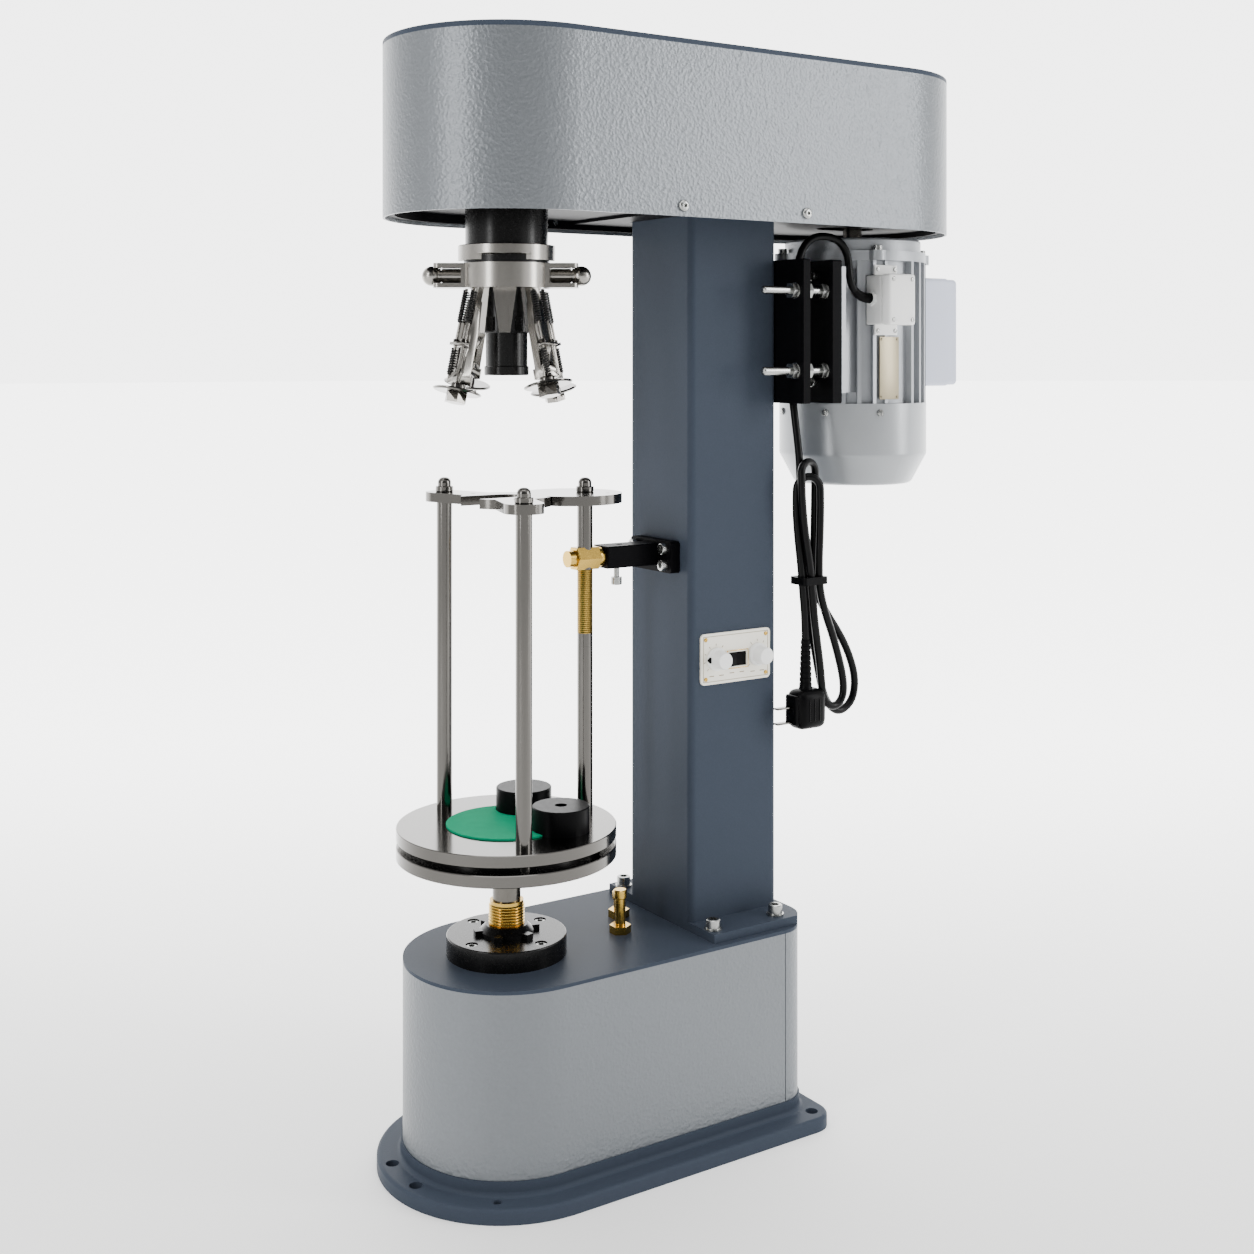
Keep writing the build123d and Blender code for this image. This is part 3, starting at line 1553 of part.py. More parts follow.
def make_terminal_box():
    (x0, x1), (y0, y1), (z0, z1) = terminal_box_side
    box = block(x0, x1, y0, y1, z0, z1)
    outer = box.edges().filter_by(lambda e: e.center().X > x0 + 5)
    box = fillet(outer, 3)
    for low, high in ((z1, z1 + terminal_tab_reach), (z0 - terminal_tab_reach, z0)):
        tab = block(
            motor_flat_x,
            motor_flat_x + terminal_tab_thickness,
            *terminal_tab_y,
            low - 1 if low == z1 else low,
            high if low == z1 else high + 1,
        )
        box += tab
    ring = Pos(gland_x, y0 - gland_length, gland_z) * along_y(
        Cylinder(gland_radius, gland_length + 1, align=(Align.CENTER, Align.CENTER, Align.MIN))
    )
    return box + ring


def make_capacitor_box():
    (x0, x1), (y0, y1), (z0, z1) = capacitor_box_side
    split = y1 - capacitor_lid
    box = block(x0, x1, y0, split, z0, z1)
    box = fillet(box.edges().filter_by(Axis.Y), capacitor_corner)
    lid = block(x0 + 1, x1 - 1, split, y1, z0 + 1, z1 - 1)
    lid = fillet(lid.edges().filter_by(Axis.Y), capacitor_corner)
    lid = fillet(lid.faces().sort_by(Axis.Y)[-1].edges(), 2.5)
    return [box, lid]


# Motor mount: one plate bolted to the column, one drawn towards it on four studs
def make_mount_plate(y0, thickness, screw_places, screw_radius):
    half = mount_plate_half_width
    plate = block(-half, half, y0, y0 + thickness, mount_plate_bottom, mount_plate_top)
    plate = fillet(plate.edges().filter_by(Axis.Y), 2)
    for x, z in tension_stud_places():
        plate -= Pos(x, y0, z) * along_y(Cylinder(tension_stud_radius + seat_gap, 3 * thickness))
    for x, z in screw_places:
        plate -= Pos(x, y0, z) * along_y(Cylinder(screw_radius + seat_gap, 3 * thickness))
    return plate


def tension_stud_places():
    return [(x * tension_stud_x, z) for x in (-1, 1) for z in tension_stud_rows]


def ring_along_y(radius, bore, y0, y1):
    ring = bar(radius, 0, y1 - y0) - bar(bore, -1, y1 - y0 + 1)
    return Pos(0, y0, 0) * along_y(ring)


def nut_along_y(across_flats, bore, y0, y1):
    nut = hexagon(across_flats, 0, y1 - y0) - bar(bore, -1, y1 - y0 + 1)
    return Pos(0, y0, 0) * along_y(nut)


def make_mount_studs():
    stud = bar(tension_stud_radius, 0, tension_plate_back_y - tension_stud_front_y)
    stud = fillet(stud.edges().sort_by(Axis.Z)[:1], 2.4)
    stud = Pos(0, tension_stud_front_y, 0) * along_y(stud)
    bore = tension_stud_radius + running_gap
    nut = tension_nut_height
    washer = tension_washer_thickness
    front = column_back_y
    back = column_back_y + mount_plate_thickness
    pieces = [
        stud,
        ring_along_y(tension_washer_radius, bore, front - washer, front),
        nut_along_y(tension_nut_across_flats, bore, front - washer - nut, front - washer),
        ring_along_y(tension_washer_radius, bore, back, back + washer),
        nut_along_y(tension_nut_across_flats, bore, back + washer, back + washer + nut),
        ring_along_y(tension_washer_radius, bore, tension_plate_front_y - washer, tension_plate_front_y),
        nut_along_y(
            tension_nut_across_flats,
            bore,
            tension_plate_front_y - washer - nut,
            tension_plate_front_y - washer,
        ),
    ]
    return [Pos(x, 0, z) * piece for x, z in tension_stud_places() for piece in pieces]


save("motor_body", make_motor_body(), make_end_bell())
motor_pulley = make_pulley(motor_pulley_radius, motor_shaft_radius, motor_y)
save("motor_rotor", make_motor_rotor(), make_fan(), motor_pulley)
save("fan_cover", make_fan_cover())
save("terminal_box", make_terminal_box())
save("capacitor_box", *make_capacitor_box())
save(
    "column_mount_plate",
    make_mount_plate(column_back_y, mount_plate_thickness, mount_screw_places(), mount_screw_radius),
)
save(
    "motor_slide_plate",
    make_mount_plate(tension_plate_front_y, tension_plate_thickness, foot_screw_places(), foot_screw_radius),
)
save("mount_studs", *make_mount_studs())


# Guide bracket on the column and the brass fitting that guides the rear rod
def make_guide_bracket():
    plate_front = column_front_y - bracket_plate_thickness
    half_height = bracket_plate_height / 2
    plate = block(
        -bracket_plate_half_width,
        bracket_plate_half_width,
        plate_front,
        column_front_y,
        bracket_z - half_height,
        bracket_z + half_height,
    )
    plate = chamfer(plate.edges().filter_by(Axis.Y), 2)
    for x, z in bracket_screw_places():
        plate -= Pos(x, plate_front, z) * along_y(
            Cylinder(bracket_screw_radius + seat_gap, 3 * bracket_plate_thickness)
        )
    arm = block(
        -bracket_arm_width / 2,
        bracket_arm_width / 2,
        bracket_arm_end_y,
        plate_front + 1,
        bracket_arm_z - bracket_arm_height / 2,
        bracket_arm_z + bracket_arm_height / 2,
    )
    arm = chamfer(arm.edges().filter_by(Axis.Y) + arm.edges().filter_by(Axis.Z).group_by(Axis.Y)[0], 1)
    arm -= Pos(0, bracket_arm_end_y - 1, bracket_arm_z) * along_y(
        bar(brass_stub_radius + seat_gap, 0, brass_stub_length + 2)
    )
    hole_foot = bracket_arm_z - bracket_arm_height
    arm -= bar(clamp_screw_radius + seat_gap / 2, hole_foot, bracket_arm_z, 0, clamp_screw_y)
    arm -= bar(bracket_hole_radius, bracket_arm_z, bracket_arm_z + bracket_arm_height, 0, bracket_hole_y)
    return plate + arm


def make_brass_guide():
    hex_end = bracket_arm_end_y - brass_collar_length
    hexagonal = hexagon(brass_across_flats, 0, hex_end - brass_front_y)
    body = Pos(0, brass_front_y, bracket_arm_z) * along_y(hexagonal)
    body = chamfer(body.faces().sort_by(Axis.Y)[0].edges() + body.faces().sort_by(Axis.Y)[-1].edges(), 0.8)
    nose = Pos(0, brass_front_y - brass_nose_length, bracket_arm_z) * along_y(
        bar(brass_stub_radius, 0, brass_nose_length + 1)
    )
    collar = Pos(0, hex_end, bracket_arm_z) * along_y(bar(brass_collar_radius, 0, brass_collar_length))
    stub = along_y(bar(brass_stub_radius, 0, brass_stub_length + 1))
    stub = Pos(0, bracket_arm_end_y - 1, bracket_arm_z) * stub
    body += nose + collar + stub
    hole = bar(
        rod_radius + running_gap,
        bracket_arm_z - brass_across_flats,
        bracket_arm_z + brass_across_flats,
        *rod_places[-1],
    )
    return body - hole


def make_clamp_screw():
    screw = socket_screw(
        clamp_screw_radius,
        clamp_screw_gap + bracket_arm_height / 2 - brass_stub_radius - seat_gap,
        clamp_screw_head_radius,
        clamp_screw_head_height,
    )
    under = bracket_arm_z - bracket_arm_height / 2 - clamp_screw_gap
    return Pos(0, clamp_screw_y, under) * Rot(180, 0, 0) * screw


# Control panel: plate, two knobs and a rocker switch in its frame
def make_panel_plate():
    x0 = column_width / 2
    middle_y = sum(panel_y) / 2
    middle_z = sum(panel_z) / 2
    face = RectangleRounded(panel_y[1] - panel_y[0], panel_z[1] - panel_z[0], panel_corner)
    plate = Pos(x0, middle_y, middle_z) * extrude(Plane.YZ * face, panel_thickness)
    for y in knob_places:
        plate -= Pos(x0, y, knob_z) * along_x(Cylinder(panel_bush_radius + seat_gap, 4 * panel_thickness))
    frame_y = rocker_size[0] / 2
    frame_z = rocker_size[1] / 2
    plate -= block(
        x0 - 1,
        x0 + panel_thickness + 1,
        rocker_y - frame_y + seat_gap,
        rocker_y + frame_y - seat_gap,
        rocker_z - frame_z + seat_gap,
        rocker_z + frame_z - seat_gap,
    )
    return plate


def make_rocker_frame():
    x0 = column_width / 2
    half_y = rocker_size[0] / 2
    half_z = rocker_size[1] / 2
    front = x0 + panel_thickness
    bezel = block(
        front,
        front + 1.2,
        rocker_y - half_y - rocker_frame,
        rocker_y + half_y + rocker_frame,
        rocker_z - half_z - rocker_frame,
        rocker_z + half_z + rocker_frame,
    )
    inset = 2 * seat_gap
    bezel += block(
        x0 - rocker_depth,
        front + 1,
        rocker_y - half_y + inset,
        rocker_y + half_y - inset,
        rocker_z - half_z + inset,
        rocker_z + half_z - inset,
    )
    wall = 1.2
    bezel -= block(
        x0 - rocker_depth + 2,
        front + 2,
        rocker_y - half_y + inset + wall,
        rocker_y + half_y - inset - wall,
        rocker_z - half_z + inset + wall,
        rocker_z + half_z - inset - wall,
    )
    return bezel


def make_panel_bush(y):
    x0 = column_width / 2
    bush = along_x(bar(panel_bush_radius, 0, column_wall + panel_thickness + 8))
    body = along_x(bar(11, -8, 0))
    bore = along_x(bar(knob_shaft_radius + running_gap, -6, column_wall + panel_thickness + 9))
    return Pos(x0 - column_wall - 1, y, knob_z) * (bush + body - bore)


def make_panel_knob(y):
    front = column_width / 2 + panel_thickness + free_gap
    flare = knob_radius
    knob = turned(
        (panel_bush_radius + free_gap, 0),
        (flare, 0),
        (flare, 2.5),
        (knob_radius * 0.82, 4),
        (knob_radius * 0.74, knob_height - 1),
        (knob_radius * 0.68, knob_height),
        (0, knob_height),
        (0, knob_bush_clearance),
        (panel_bush_radius + free_gap, knob_bush_clearance),
    )
    knob += bar(knob_shaft_radius, -column_wall - panel_thickness - 4, knob_bush_clearance + 1)
    return Pos(front, y, knob_z) * along_x(knob)


def make_rocker():
    inset = 2 * seat_gap + 1.2 + free_gap
    half_y = rocker_size[0] / 2 - inset
    half_z = rocker_size[1] / 2 - inset
    radius = hypot(half_y, rocker_proud)
    profile = make_face(
        Polyline(
            (-half_y * 0.92, -4),
            (half_y * 0.92, -4),
            (half_y * 0.98, rocker_proud),
            (0, rocker_proud - 1.6),
            (-half_y * 0.98, rocker_proud),
            close=True,
        )
    )
    solid = Pos(0, 0, -half_z) * extrude(profile, 2 * half_z)
    placed = Rot(0, 0, -90) * solid
    placed = Rot(0, 0, rocker_tilt) * placed
    return Pos(rocker_pivot_x, rocker_y, rocker_z) * placed


save("guide_bracket", make_guide_bracket())
save("brass_guide", make_brass_guide())
bushes = [make_panel_bush(y) for y in knob_places]
save("control_panel", make_panel_plate(), make_rocker_frame(), *bushes)
for number, y in enumerate(knob_places, 1):
    save(f"panel_knob_{number}", make_panel_knob(y))
save("power_rocker", make_rocker())


# Stop posts on the deck: a tall stud and a short one, each with a nut and a ring
def make_stop_post(place, height):
    shank = post_radius * 0.8
    post = bar(shank, deck_top - deck_cover - deck_spigot, deck_top + height)
    nut = hexagon(post_nut_across_flats, deck_top, deck_top + post_nut_height)
    post += nut
    ring = bar(post_radius, deck_top + height - post_ring_height, deck_top + height)
    post += chamfer(ring.edges().filter_by(GeomType.CIRCLE), 0.8)
    return Pos(*place, 0) * post


save("stop_posts", make_stop_post(post_place, post_height), make_stop_post(rear_post_place, rear_post_height))


# Screws of the frame, laid out from the same places as their holes
def place_along_y(screw, places, seat_y):
    return [Pos(x, seat_y, z) * Rot(90, 0, 0) * screw for x, z in places]


def make_head_bolts():
    length = head_base_thickness + column_top_flange
    screw = socket_screw(head_bolt_radius, length, column_bolt_head_radius, column_bolt_head_height)
    return [Pos(x, y, head_base_top) * screw for x, y in head_bolt_places()]


def make_housing_bolts():
    length = head_base_thickness + housing_flange_thickness
    screw = socket_screw(housing_bolt_radius, length, guide_bolt_head_radius, guide_bolt_head_height)
    return [Pos(x, y, head_base_top + housing_flange_thickness) * screw for x, y in housing_bolt_places()]


def make_bracket_screws():
    length = bracket_plate_thickness + column_wall + 2
    screw = socket_screw(bracket_screw_radius, length, bracket_screw_head_radius, bracket_screw_head_height)
    return place_along_y(screw, bracket_screw_places(), column_front_y - bracket_plate_thickness)


def make_mount_screws():
    length = mount_plate_thickness + column_wall + 2
    screw = socket_screw(mount_screw_radius, length, mount_screw_head_radius, mount_screw_head_height)
    seat = column_back_y + mount_plate_thickness
    return [Pos(x, seat, z) * Rot(-90, 0, 0) * screw for x, z in mount_screw_places()]


def make_foot_screws():
    length = tension_plate_thickness + foot_depth - 8
    screw = socket_screw(foot_screw_radius, length, foot_screw_head_radius, foot_screw_head_height)
    return place_along_y(screw, foot_screw_places(), tension_plate_front_y)


def make_bell_screws():
    screw = socket_screw(bell_screw_radius, bell_step_z - motor_top, 1.8 * bell_screw_radius, 5)
    reach = bell_lug_reach - bell_lug_width / 2
    turns = [radians(bell_lug_turn + 90 * n) for n in range(4)]
    return [Pos(reach * cos(t), motor_y + reach * sin(t), bell_step_z) * screw for t in turns]


frame_screws = make_guide_bolts() + make_column_bolts() + make_column_washers()
frame_screws += make_head_bolts() + make_housing_bolts() + make_bracket_screws()
frame_screws += make_mount_screws() + make_foot_screws() + make_bell_screws()
save("frame_screws", *frame_screws, make_clamp_screw())


# Mains cord: a tube as far as the hank, the hank, its tie and the plug
def cord_radii():
    points = [Vector(*point) for point in cord_route]
    radii = []
    for n in range(1, len(points) - 1):
        before = points[n] - points[n - 1]
        after = points[n + 1] - points[n]
        first_share = cord_end_share if n == 1 else cord_arc_share
        last_share = cord_end_share if n == len(points) - 2 else cord_arc_share
        tangent = min(before.length * first_share, after.length * last_share)
        radii.append(tangent / tan(radians(before.get_angle(after)) / 2))
    return radii


def make_cord_tube():
    radii = cord_radii()
    print("cord radii", [round(radius, 1) for radius in radii])
    path = FilletPolyline(*cord_route, radius=radii)
    start = Plane(origin=path @ 0, z_dir=path % 0)
    tube = sweep(start * Circle(cord_radius), path=path)
    print("cord volume ratio", round(tube.volume / (path.length * Circle(cord_radius).area), 4))
    print("cord tube length", round(path.length, 1))
    return tube


def make_cord_hank():
    x0, x1 = hank_x
    (top, low, upper_radius), (high, foot, high_radius, foot_radius) = hank_upper, hank_lower
    upper = make_hull((Pos(*top) * Circle(upper_radius) + Pos(*low) * Circle(upper_radius)).edges())
    lower = make_hull((Pos(*high) * Circle(high_radius) + Pos(*foot) * Circle(foot_radius)).edges())
    neck = Pos(sum(hank_neck_y) / 2, sum(hank_neck_z) / 2) * Rectangle(
        hank_neck_y[1] - hank_neck_y[0], hank_neck_z[1] - hank_neck_z[0]
    )
    outline = upper + lower + neck
    return Pos(x0, 0, 0) * extrude(Plane.YZ * outline, x1 - x0)


def make_cord_tie():
    x0, x1 = hank_x
    y0, y1 = hank_neck_y
    gap = seat_gap / 2
    band = block(x0 - tie_wall, x1 + tie_wall, y0 - tie_wall, y1 + tie_wall, *tie_z)
    band = fillet(band.edges().filter_by(Axis.Z), tie_wall)
    return band - block(x0 - gap, x1 + gap, y0 - gap, y1 + gap, tie_z[0] - 1, tie_z[1] + 1)


def make_cord_plug():
    middle_x = sum(hank_x) / 2
    half = plug_thickness / 2
    body = block(middle_x - half, middle_x + half, *plug_y, *plug_z)
    body = fillet(body.edges().filter_by(Axis.Y), 6)
    body = fillet(body.faces().sort_by(Axis.Y)[-1].edges(), 4)
    body += bar(plug_sleeve_radius, plug_z[1] - 5, plug_sleeve_top, middle_x, plug_sleeve_y)
    body += bar(cord_radius, plug_sleeve_top, hank_neck_z[0], middle_x, plug_sleeve_y)
    wide, thick = plug_pin_size
    for z in plug_pin_z:
        body += block(
            middle_x - wide / 2,
            middle_x + wide / 2,
            plug_y[0] - plug_pin_length,
            plug_y[0] + 1,
            z - thick / 2,
            z + thick / 2,
        )
    return body


save("cord_tube", make_cord_tube())
save("cord_hank", make_cord_hank())
save("cord_tie", make_cord_tie())
save("cord_plug", make_cord_plug())
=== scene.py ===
import json
import math

import bpy
from mathutils import Matrix, Vector


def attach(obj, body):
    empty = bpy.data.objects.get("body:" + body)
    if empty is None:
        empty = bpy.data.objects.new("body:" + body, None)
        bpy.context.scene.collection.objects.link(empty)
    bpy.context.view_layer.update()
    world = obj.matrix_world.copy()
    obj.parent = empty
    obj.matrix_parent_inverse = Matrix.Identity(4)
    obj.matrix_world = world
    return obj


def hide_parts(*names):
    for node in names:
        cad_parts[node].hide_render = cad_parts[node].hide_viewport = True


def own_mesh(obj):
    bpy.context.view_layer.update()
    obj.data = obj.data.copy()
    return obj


bl_info = {
    "name": "Roll-on capping machine",
    "version": (1, 0, 0),
    "blender": (4, 5, 0),
    "location": "View3D > Sidebar > Capper",
    "description": "Finishes, springs, threads, panel marks, lead and studio of a bench capping machine",
    "category": "Object",
}

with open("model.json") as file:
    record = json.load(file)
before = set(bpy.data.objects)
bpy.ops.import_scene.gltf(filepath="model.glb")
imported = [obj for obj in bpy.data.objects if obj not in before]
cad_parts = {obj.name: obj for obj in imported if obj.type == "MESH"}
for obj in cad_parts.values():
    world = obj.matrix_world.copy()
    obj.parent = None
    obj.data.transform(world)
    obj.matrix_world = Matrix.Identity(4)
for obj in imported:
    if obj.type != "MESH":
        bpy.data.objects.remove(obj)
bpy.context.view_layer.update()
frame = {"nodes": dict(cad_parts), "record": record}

# Sizes in millimetres, measured from the spindle axis and the floor
MM = 0.001
MIDDLE_Y = 203.75
FROM_SPINDLE = Matrix.Translation((0, -MIDDLE_Y * MM, 0))

# Roller arms: their turns about the spindle, their pivot, and their springs along and across the arm
ARM_TURNS = (11.5, 101.5, 191.5, 281.5)
ARM_PIVOT = (31.0, 768.0)
ARM_LEAN = 14.5
SPRING_OFFSET = 7.6
SPRING_SPREAD = 5.2
SPRING_RADIUS = 3.1
SPRING_TUBE_LIMITS = (1.6, 3.4)
UPPER_SPRING = (-40.0, -10.5)
LOWER_SPRING = (-86.0, -62.0)

# Capping head: the cone's flats (their thickness as a share of their width), the collar's band and the
# chuck's spring, from its foot to the top end that it is squashed against
CONE_TOP = 762.3
CONE_HEIGHT = 39.0
CONE_REACH = 21.7
FACET_COUNT = 6
FACET_TURN = -33.5
FACET_LEAN = 2.76
FACET_HALF_WIDTHS = (4.9, 10.2)
FACET_THICKNESS = 0.012
BAND_RADII = (37.3, 37.6)
BAND_HEIGHTS = (783.9, 790.2)
CHUCK_SPRING_FOOT = 733.1
CHUCK_SPRING_RADIUS = 15.2
CHUCK_SPRING_WIRE = 1.3
CHUCK_SPRING_PITCH = 4.2
CHUCK_SPRING_LENGTH = 24.7

# Threads: the height sleeve and the zone on the rear rod
SLEEVE_RADII = (12.4, 15.6)
SLEEVE_HEIGHTS = (160.5, 227.0)
SLEEVE_THREAD = (206.6, 225.5)
REAR_ROD_Y = 81.0
ROD_THREAD_RADII = (6.8, 7.0)
ROD_THREAD = (453.0, 510.4)

# Motor: its gland and the fan cover's screws
GLAND = (66.7, 366.9, 759.0)
MOTOR_Y = 400.0
COVER_SCREW_Z = 648.0
COVER_SCREW_REACH = 73.5
COVER_SCREW_TURNS = (-20, -62, 70, 160, 250)

# Control panel: its face, its printed line and its window's rim as Y and Z edges, and its knobs
FRONT_OF_PANEL = 52.0
PANEL_LINE = (175.4, 250.1, 405.4, 447.1)
WINDOW_RIM = (201.4, 226.1, 415.6, 432.4)
PANEL_SCREWS = ((178.2, 247.3), (408.2, 444.3))
PANEL_BARS = ((185, 410.5), (196, 410.5), (232, 410.5), (243, 410.5), (208, 411.5), (219.5, 411.5))
KNOB_PLACES = (190.0, 237.5)
KNOB_HEIGHT_Z = 426.0
DIAL_TICKS = 9

# Distance in metres between the bands of a wave texture whose scale is 1
WAVE_PERIOD = 0.314

# Faces that meet within this many degrees are shaded as one surface
SMOOTH_ANGLE = 35

# The lead's route from the gland to the top of the hank, as in the part's source
CORD_ROUTE = (
    (66.7, 363.6, 759.0),
    (66.7, 338.0, 759.0),
    (64.0, 338.0, 817.0),
    (55.0, 284.0, 817.0),
    (51.0, 284.5, 735.0),
    (46.0, 283.0, 672.0),
    (54.0, 282.0, 637.0),
    (58.0, 283.5, 604.5),
)

# The rubber strain relief at the gland
RELIEF_LENGTH = 22.0
RELIEF_RADII = (5.2, 4.1)

# The hank, drawn after the photograph: down on the left, up on the right
HANK_ROUTE = (
    (57.2, 285.0, 565.0),
    (60.5, 286.0, 525.0),
    (62.0, 288.5, 493.0),
    (62.0, 290.5, 466.0),
    (62.0, 296.0, 438.0),
    (62.0, 301.0, 414.0),
    (62.0, 306.0, 392.0),
    (62.0, 313.0, 373.5),
    (62.0, 328.0, 362.0),
    (62.0, 345.0, 371.0),
    (62.0, 349.5, 390.0),
    (62.0, 344.0, 411.0),
    (62.0, 332.0, 434.0),
    (62.0, 313.0, 459.0),
    (62.0, 299.5, 480.0),
    (62.0, 297.0, 504.0),
    (62.0, 298.0, 540.0),
    (62.3, 298.3, 570.0),
    (62.5, 298.3, 587.5),
    (63.0, 298.3, 597.0),
    (64.8, 291.8, 603.6),
    (67.3, 282.6, 603.6),
    (69.9, 275.6, 597.0),
    (70.5, 275.6, 587.5),
    (70.5, 276.0, 570.0),
    (70.0, 279.5, 540.0),
    (70.0, 286.0, 508.0),
    (70.0, 289.0, 480.0),
    (70.0, 291.5, 455.0),
    (70.0, 295.5, 430.0),
    (70.0, 299.0, 408.0),
    (70.0, 300.5, 391.0),
    (70.0, 302.5, 381.0),
    (70.0, 309.0, 372.5),
    (70.0, 319.5, 371.5),
    (70.0, 326.5, 379.5),
    (70.0, 327.5, 390.0),
    (70.0, 325.0, 405.0),
    (70.0, 315.0, 436.0),
    (70.0, 304.0, 462.0),
    (70.0, 297.5, 485.0),
    (70.0, 297.0, 510.0),
    (70.5, 297.8, 535.0),
    (71.0, 298.0, 556.0),
    (71.0, 298.0, 573.0),
    (70.5, 298.0, 583.0),
    (68.6, 291.8, 589.6),
    (64.8, 283.2, 589.6),
    (62.3, 276.6, 583.0),
    (62.0, 276.0, 573.0),
    (62.0, 276.0, 556.0),
    (63.0, 277.0, 535.0),
    (65.0, 279.5, 505.0),
    (66.0, 281.0, 480.0),
    (66.0, 283.5, 458.0),
    (66.0, 284.0, 436.0),
)


def at(x, y, z):
    """A place on the machine, from millimetres about the spindle axis to metres in the shared frame."""
    return Vector((x, y - MIDDLE_Y, z)) * MM


def linear(hex_colour):
    """An sRGB hex colour as linear red, green, blue and alpha."""
    levels = [int(hex_colour[n : n + 2], 16) / 255 for n in (0, 2, 4)]
    return [v / 12.92 if v <= 0.04045 else ((v + 0.055) / 1.055) ** 2.4 for v in levels] + [1.0]


# Settings that a user would change


class FinishSettings(bpy.types.PropertyGroup):
    silver: bpy.props.FloatVectorProperty(
        name="Silver enamel",
        description="Hammer-finish enamel of the belt cover and the pedestal",
        size=4,
        subtype="COLOR",
        default=linear("72767A"),
    )
    blue_grey: bpy.props.FloatVectorProperty(
        name="Blue-grey paint",
        description="Satin paint of the column, deck, base and lid",
        size=4,
        subtype="COLOR",
        default=linear("383F4A"),
    )
    pad_green: bpy.props.FloatVectorProperty(
        name="Grip pad",
        description="Rubber disc under the bottle",
        size=4,
        subtype="COLOR",
        default=linear("008A63"),
    )
    pebble: bpy.props.FloatProperty(
        name="Enamel pebble",
        description="Width of one pebble of the hammer finish",
        default=0.0031,
        unit="LENGTH",
    )


class DetailSettings(bpy.types.PropertyGroup):
    spring_wire: bpy.props.FloatProperty(
        name="Spring wire",
        description="Wire radius of the springs on the roller arms",
        default=0.00085,
        unit="LENGTH",
    )
    spring_pitch: bpy.props.FloatProperty(
        name="Spring pitch",
        description="Rise of one coil of the arm springs",
        default=0.0022,
        unit="LENGTH",
    )
    sleeve_pitch: bpy.props.FloatProperty(
        name="Sleeve thread pitch",
        description="Pitch of the thread on the height sleeve",
        default=0.0025,
        unit="LENGTH",
    )
    rod_pitch: bpy.props.FloatProperty(
        name="Rod thread pitch",
        description="Pitch of the fine thread under the brass guide",
        default=0.0018,
        unit="LENGTH",
    )
    cord_diameter: bpy.props.FloatProperty(
        name="Lead diameter",
        description="Outside diameter of the mains lead",
        default=0.0075,
        unit="LENGTH",
    )


# Modelling helpers, each a few steps of hand work


def clear():
    if bpy.context.object and bpy.context.object.mode != "OBJECT":
        bpy.ops.object.mode_set(mode="OBJECT")
    bpy.ops.object.select_all(action="DESELECT")


def settle(obj, matrix=None):
    """Puts a finished piece's place into its mesh and smooths its faces."""
    clear()
    obj.select_set(True)
    bpy.context.view_layer.objects.active = obj
    if matrix is not None:
        obj.matrix_world = matrix @ obj.matrix_world
    bpy.ops.object.transform_apply(location=True, rotation=True, scale=True)
    bpy.ops.object.shade_smooth_by_angle(angle=math.radians(SMOOTH_ANGLE))
    return obj


def join(name, pieces):
    clear()
    for piece in pieces:
        piece.select_set(True)
    bpy.context.view_layer.objects.active = pieces[0]
    if len(pieces) > 1:
        bpy.ops.object.join()
    pieces[0].name = name
    return pieces[0]


def copy_of(piece, matrix):
    """A copy with its own mesh, moved by a matrix."""
    clear()
    piece.select_set(True)
    bpy.context.view_layer.objects.active = piece
    bpy.ops.object.duplicate(linked=False)
    return settle(bpy.context.object, matrix)


def tidy_mesh():
    """In edit mode: merges doubles, closes open ends and turns the faces outwards."""
    bpy.ops.mesh.select_all(action="SELECT")
    bpy.ops.mesh.remove_doubles(threshold=0.00001)
    bpy.ops.mesh.fill_holes(sides=0)
    bpy.ops.mesh.select_all(action="SELECT")
    bpy.ops.mesh.normals_make_consistent(inside=False)


def turned(name, profile, sides, matrix=None):
    """A lathe piece on the Z axis: one ring is extruded and scaled along (radius, height) in mm."""
    clear()
    radius, height = profile[0]
    bpy.ops.mesh.primitive_circle_add(vertices=sides, radius=radius * MM)
    obj = bpy.context.object
    obj.name = name
    bpy.ops.object.mode_set(mode="EDIT")
    bpy.ops.mesh.select_all(action="SELECT")
    bpy.ops.transform.translate(value=(0, 0, height * MM))
    for next_radius, next_height in profile[1:]:
        rise = (0, 0, (next_height - height) * MM)
        bpy.ops.mesh.extrude_region_move(TRANSFORM_OT_translate={"value": rise})
        share = next_radius / radius
        if abs(share - 1) > 1e-6:
            bpy.ops.transform.resize(value=(share, share, 1), center_override=(0, 0, next_height * MM))
        radius, height = next_radius, next_height
    tidy_mesh()
    bpy.ops.object.mode_set(mode="OBJECT")
    return settle(obj, matrix)


def tube_profile(radii, heights):
    """The closed outline of a plain tube, for the lathe."""
    (inner, outer), (foot, top) = radii, heights
    return (inner, foot), (outer, foot), (outer, top), (inner, top), (inner, foot)


def block(name, low, high, bevel, matrix=None):
    """A box between two corners in mm, with every edge rounded."""
    clear()
    bpy.ops.mesh.primitive_cube_add(size=1)
    obj = bpy.context.object
    obj.name = name
    obj.scale = [(b - a) * MM for a, b in zip(low, high)]
    obj.location = [(a + b) / 2 * MM for a, b in zip(low, high)]
    bpy.ops.object.transform_apply(location=True, rotation=True, scale=True)
    bpy.ops.object.mode_set(mode="EDIT")
    bpy.ops.mesh.select_all(action="SELECT")
    bpy.ops.mesh.bevel(offset=bevel * MM, segments=3, affect="EDGES")
    bpy.ops.object.mode_set(mode="OBJECT")
    return settle(obj, matrix)


def shift(x, y, z):
    return Matrix.Translation(at(x, y, z))


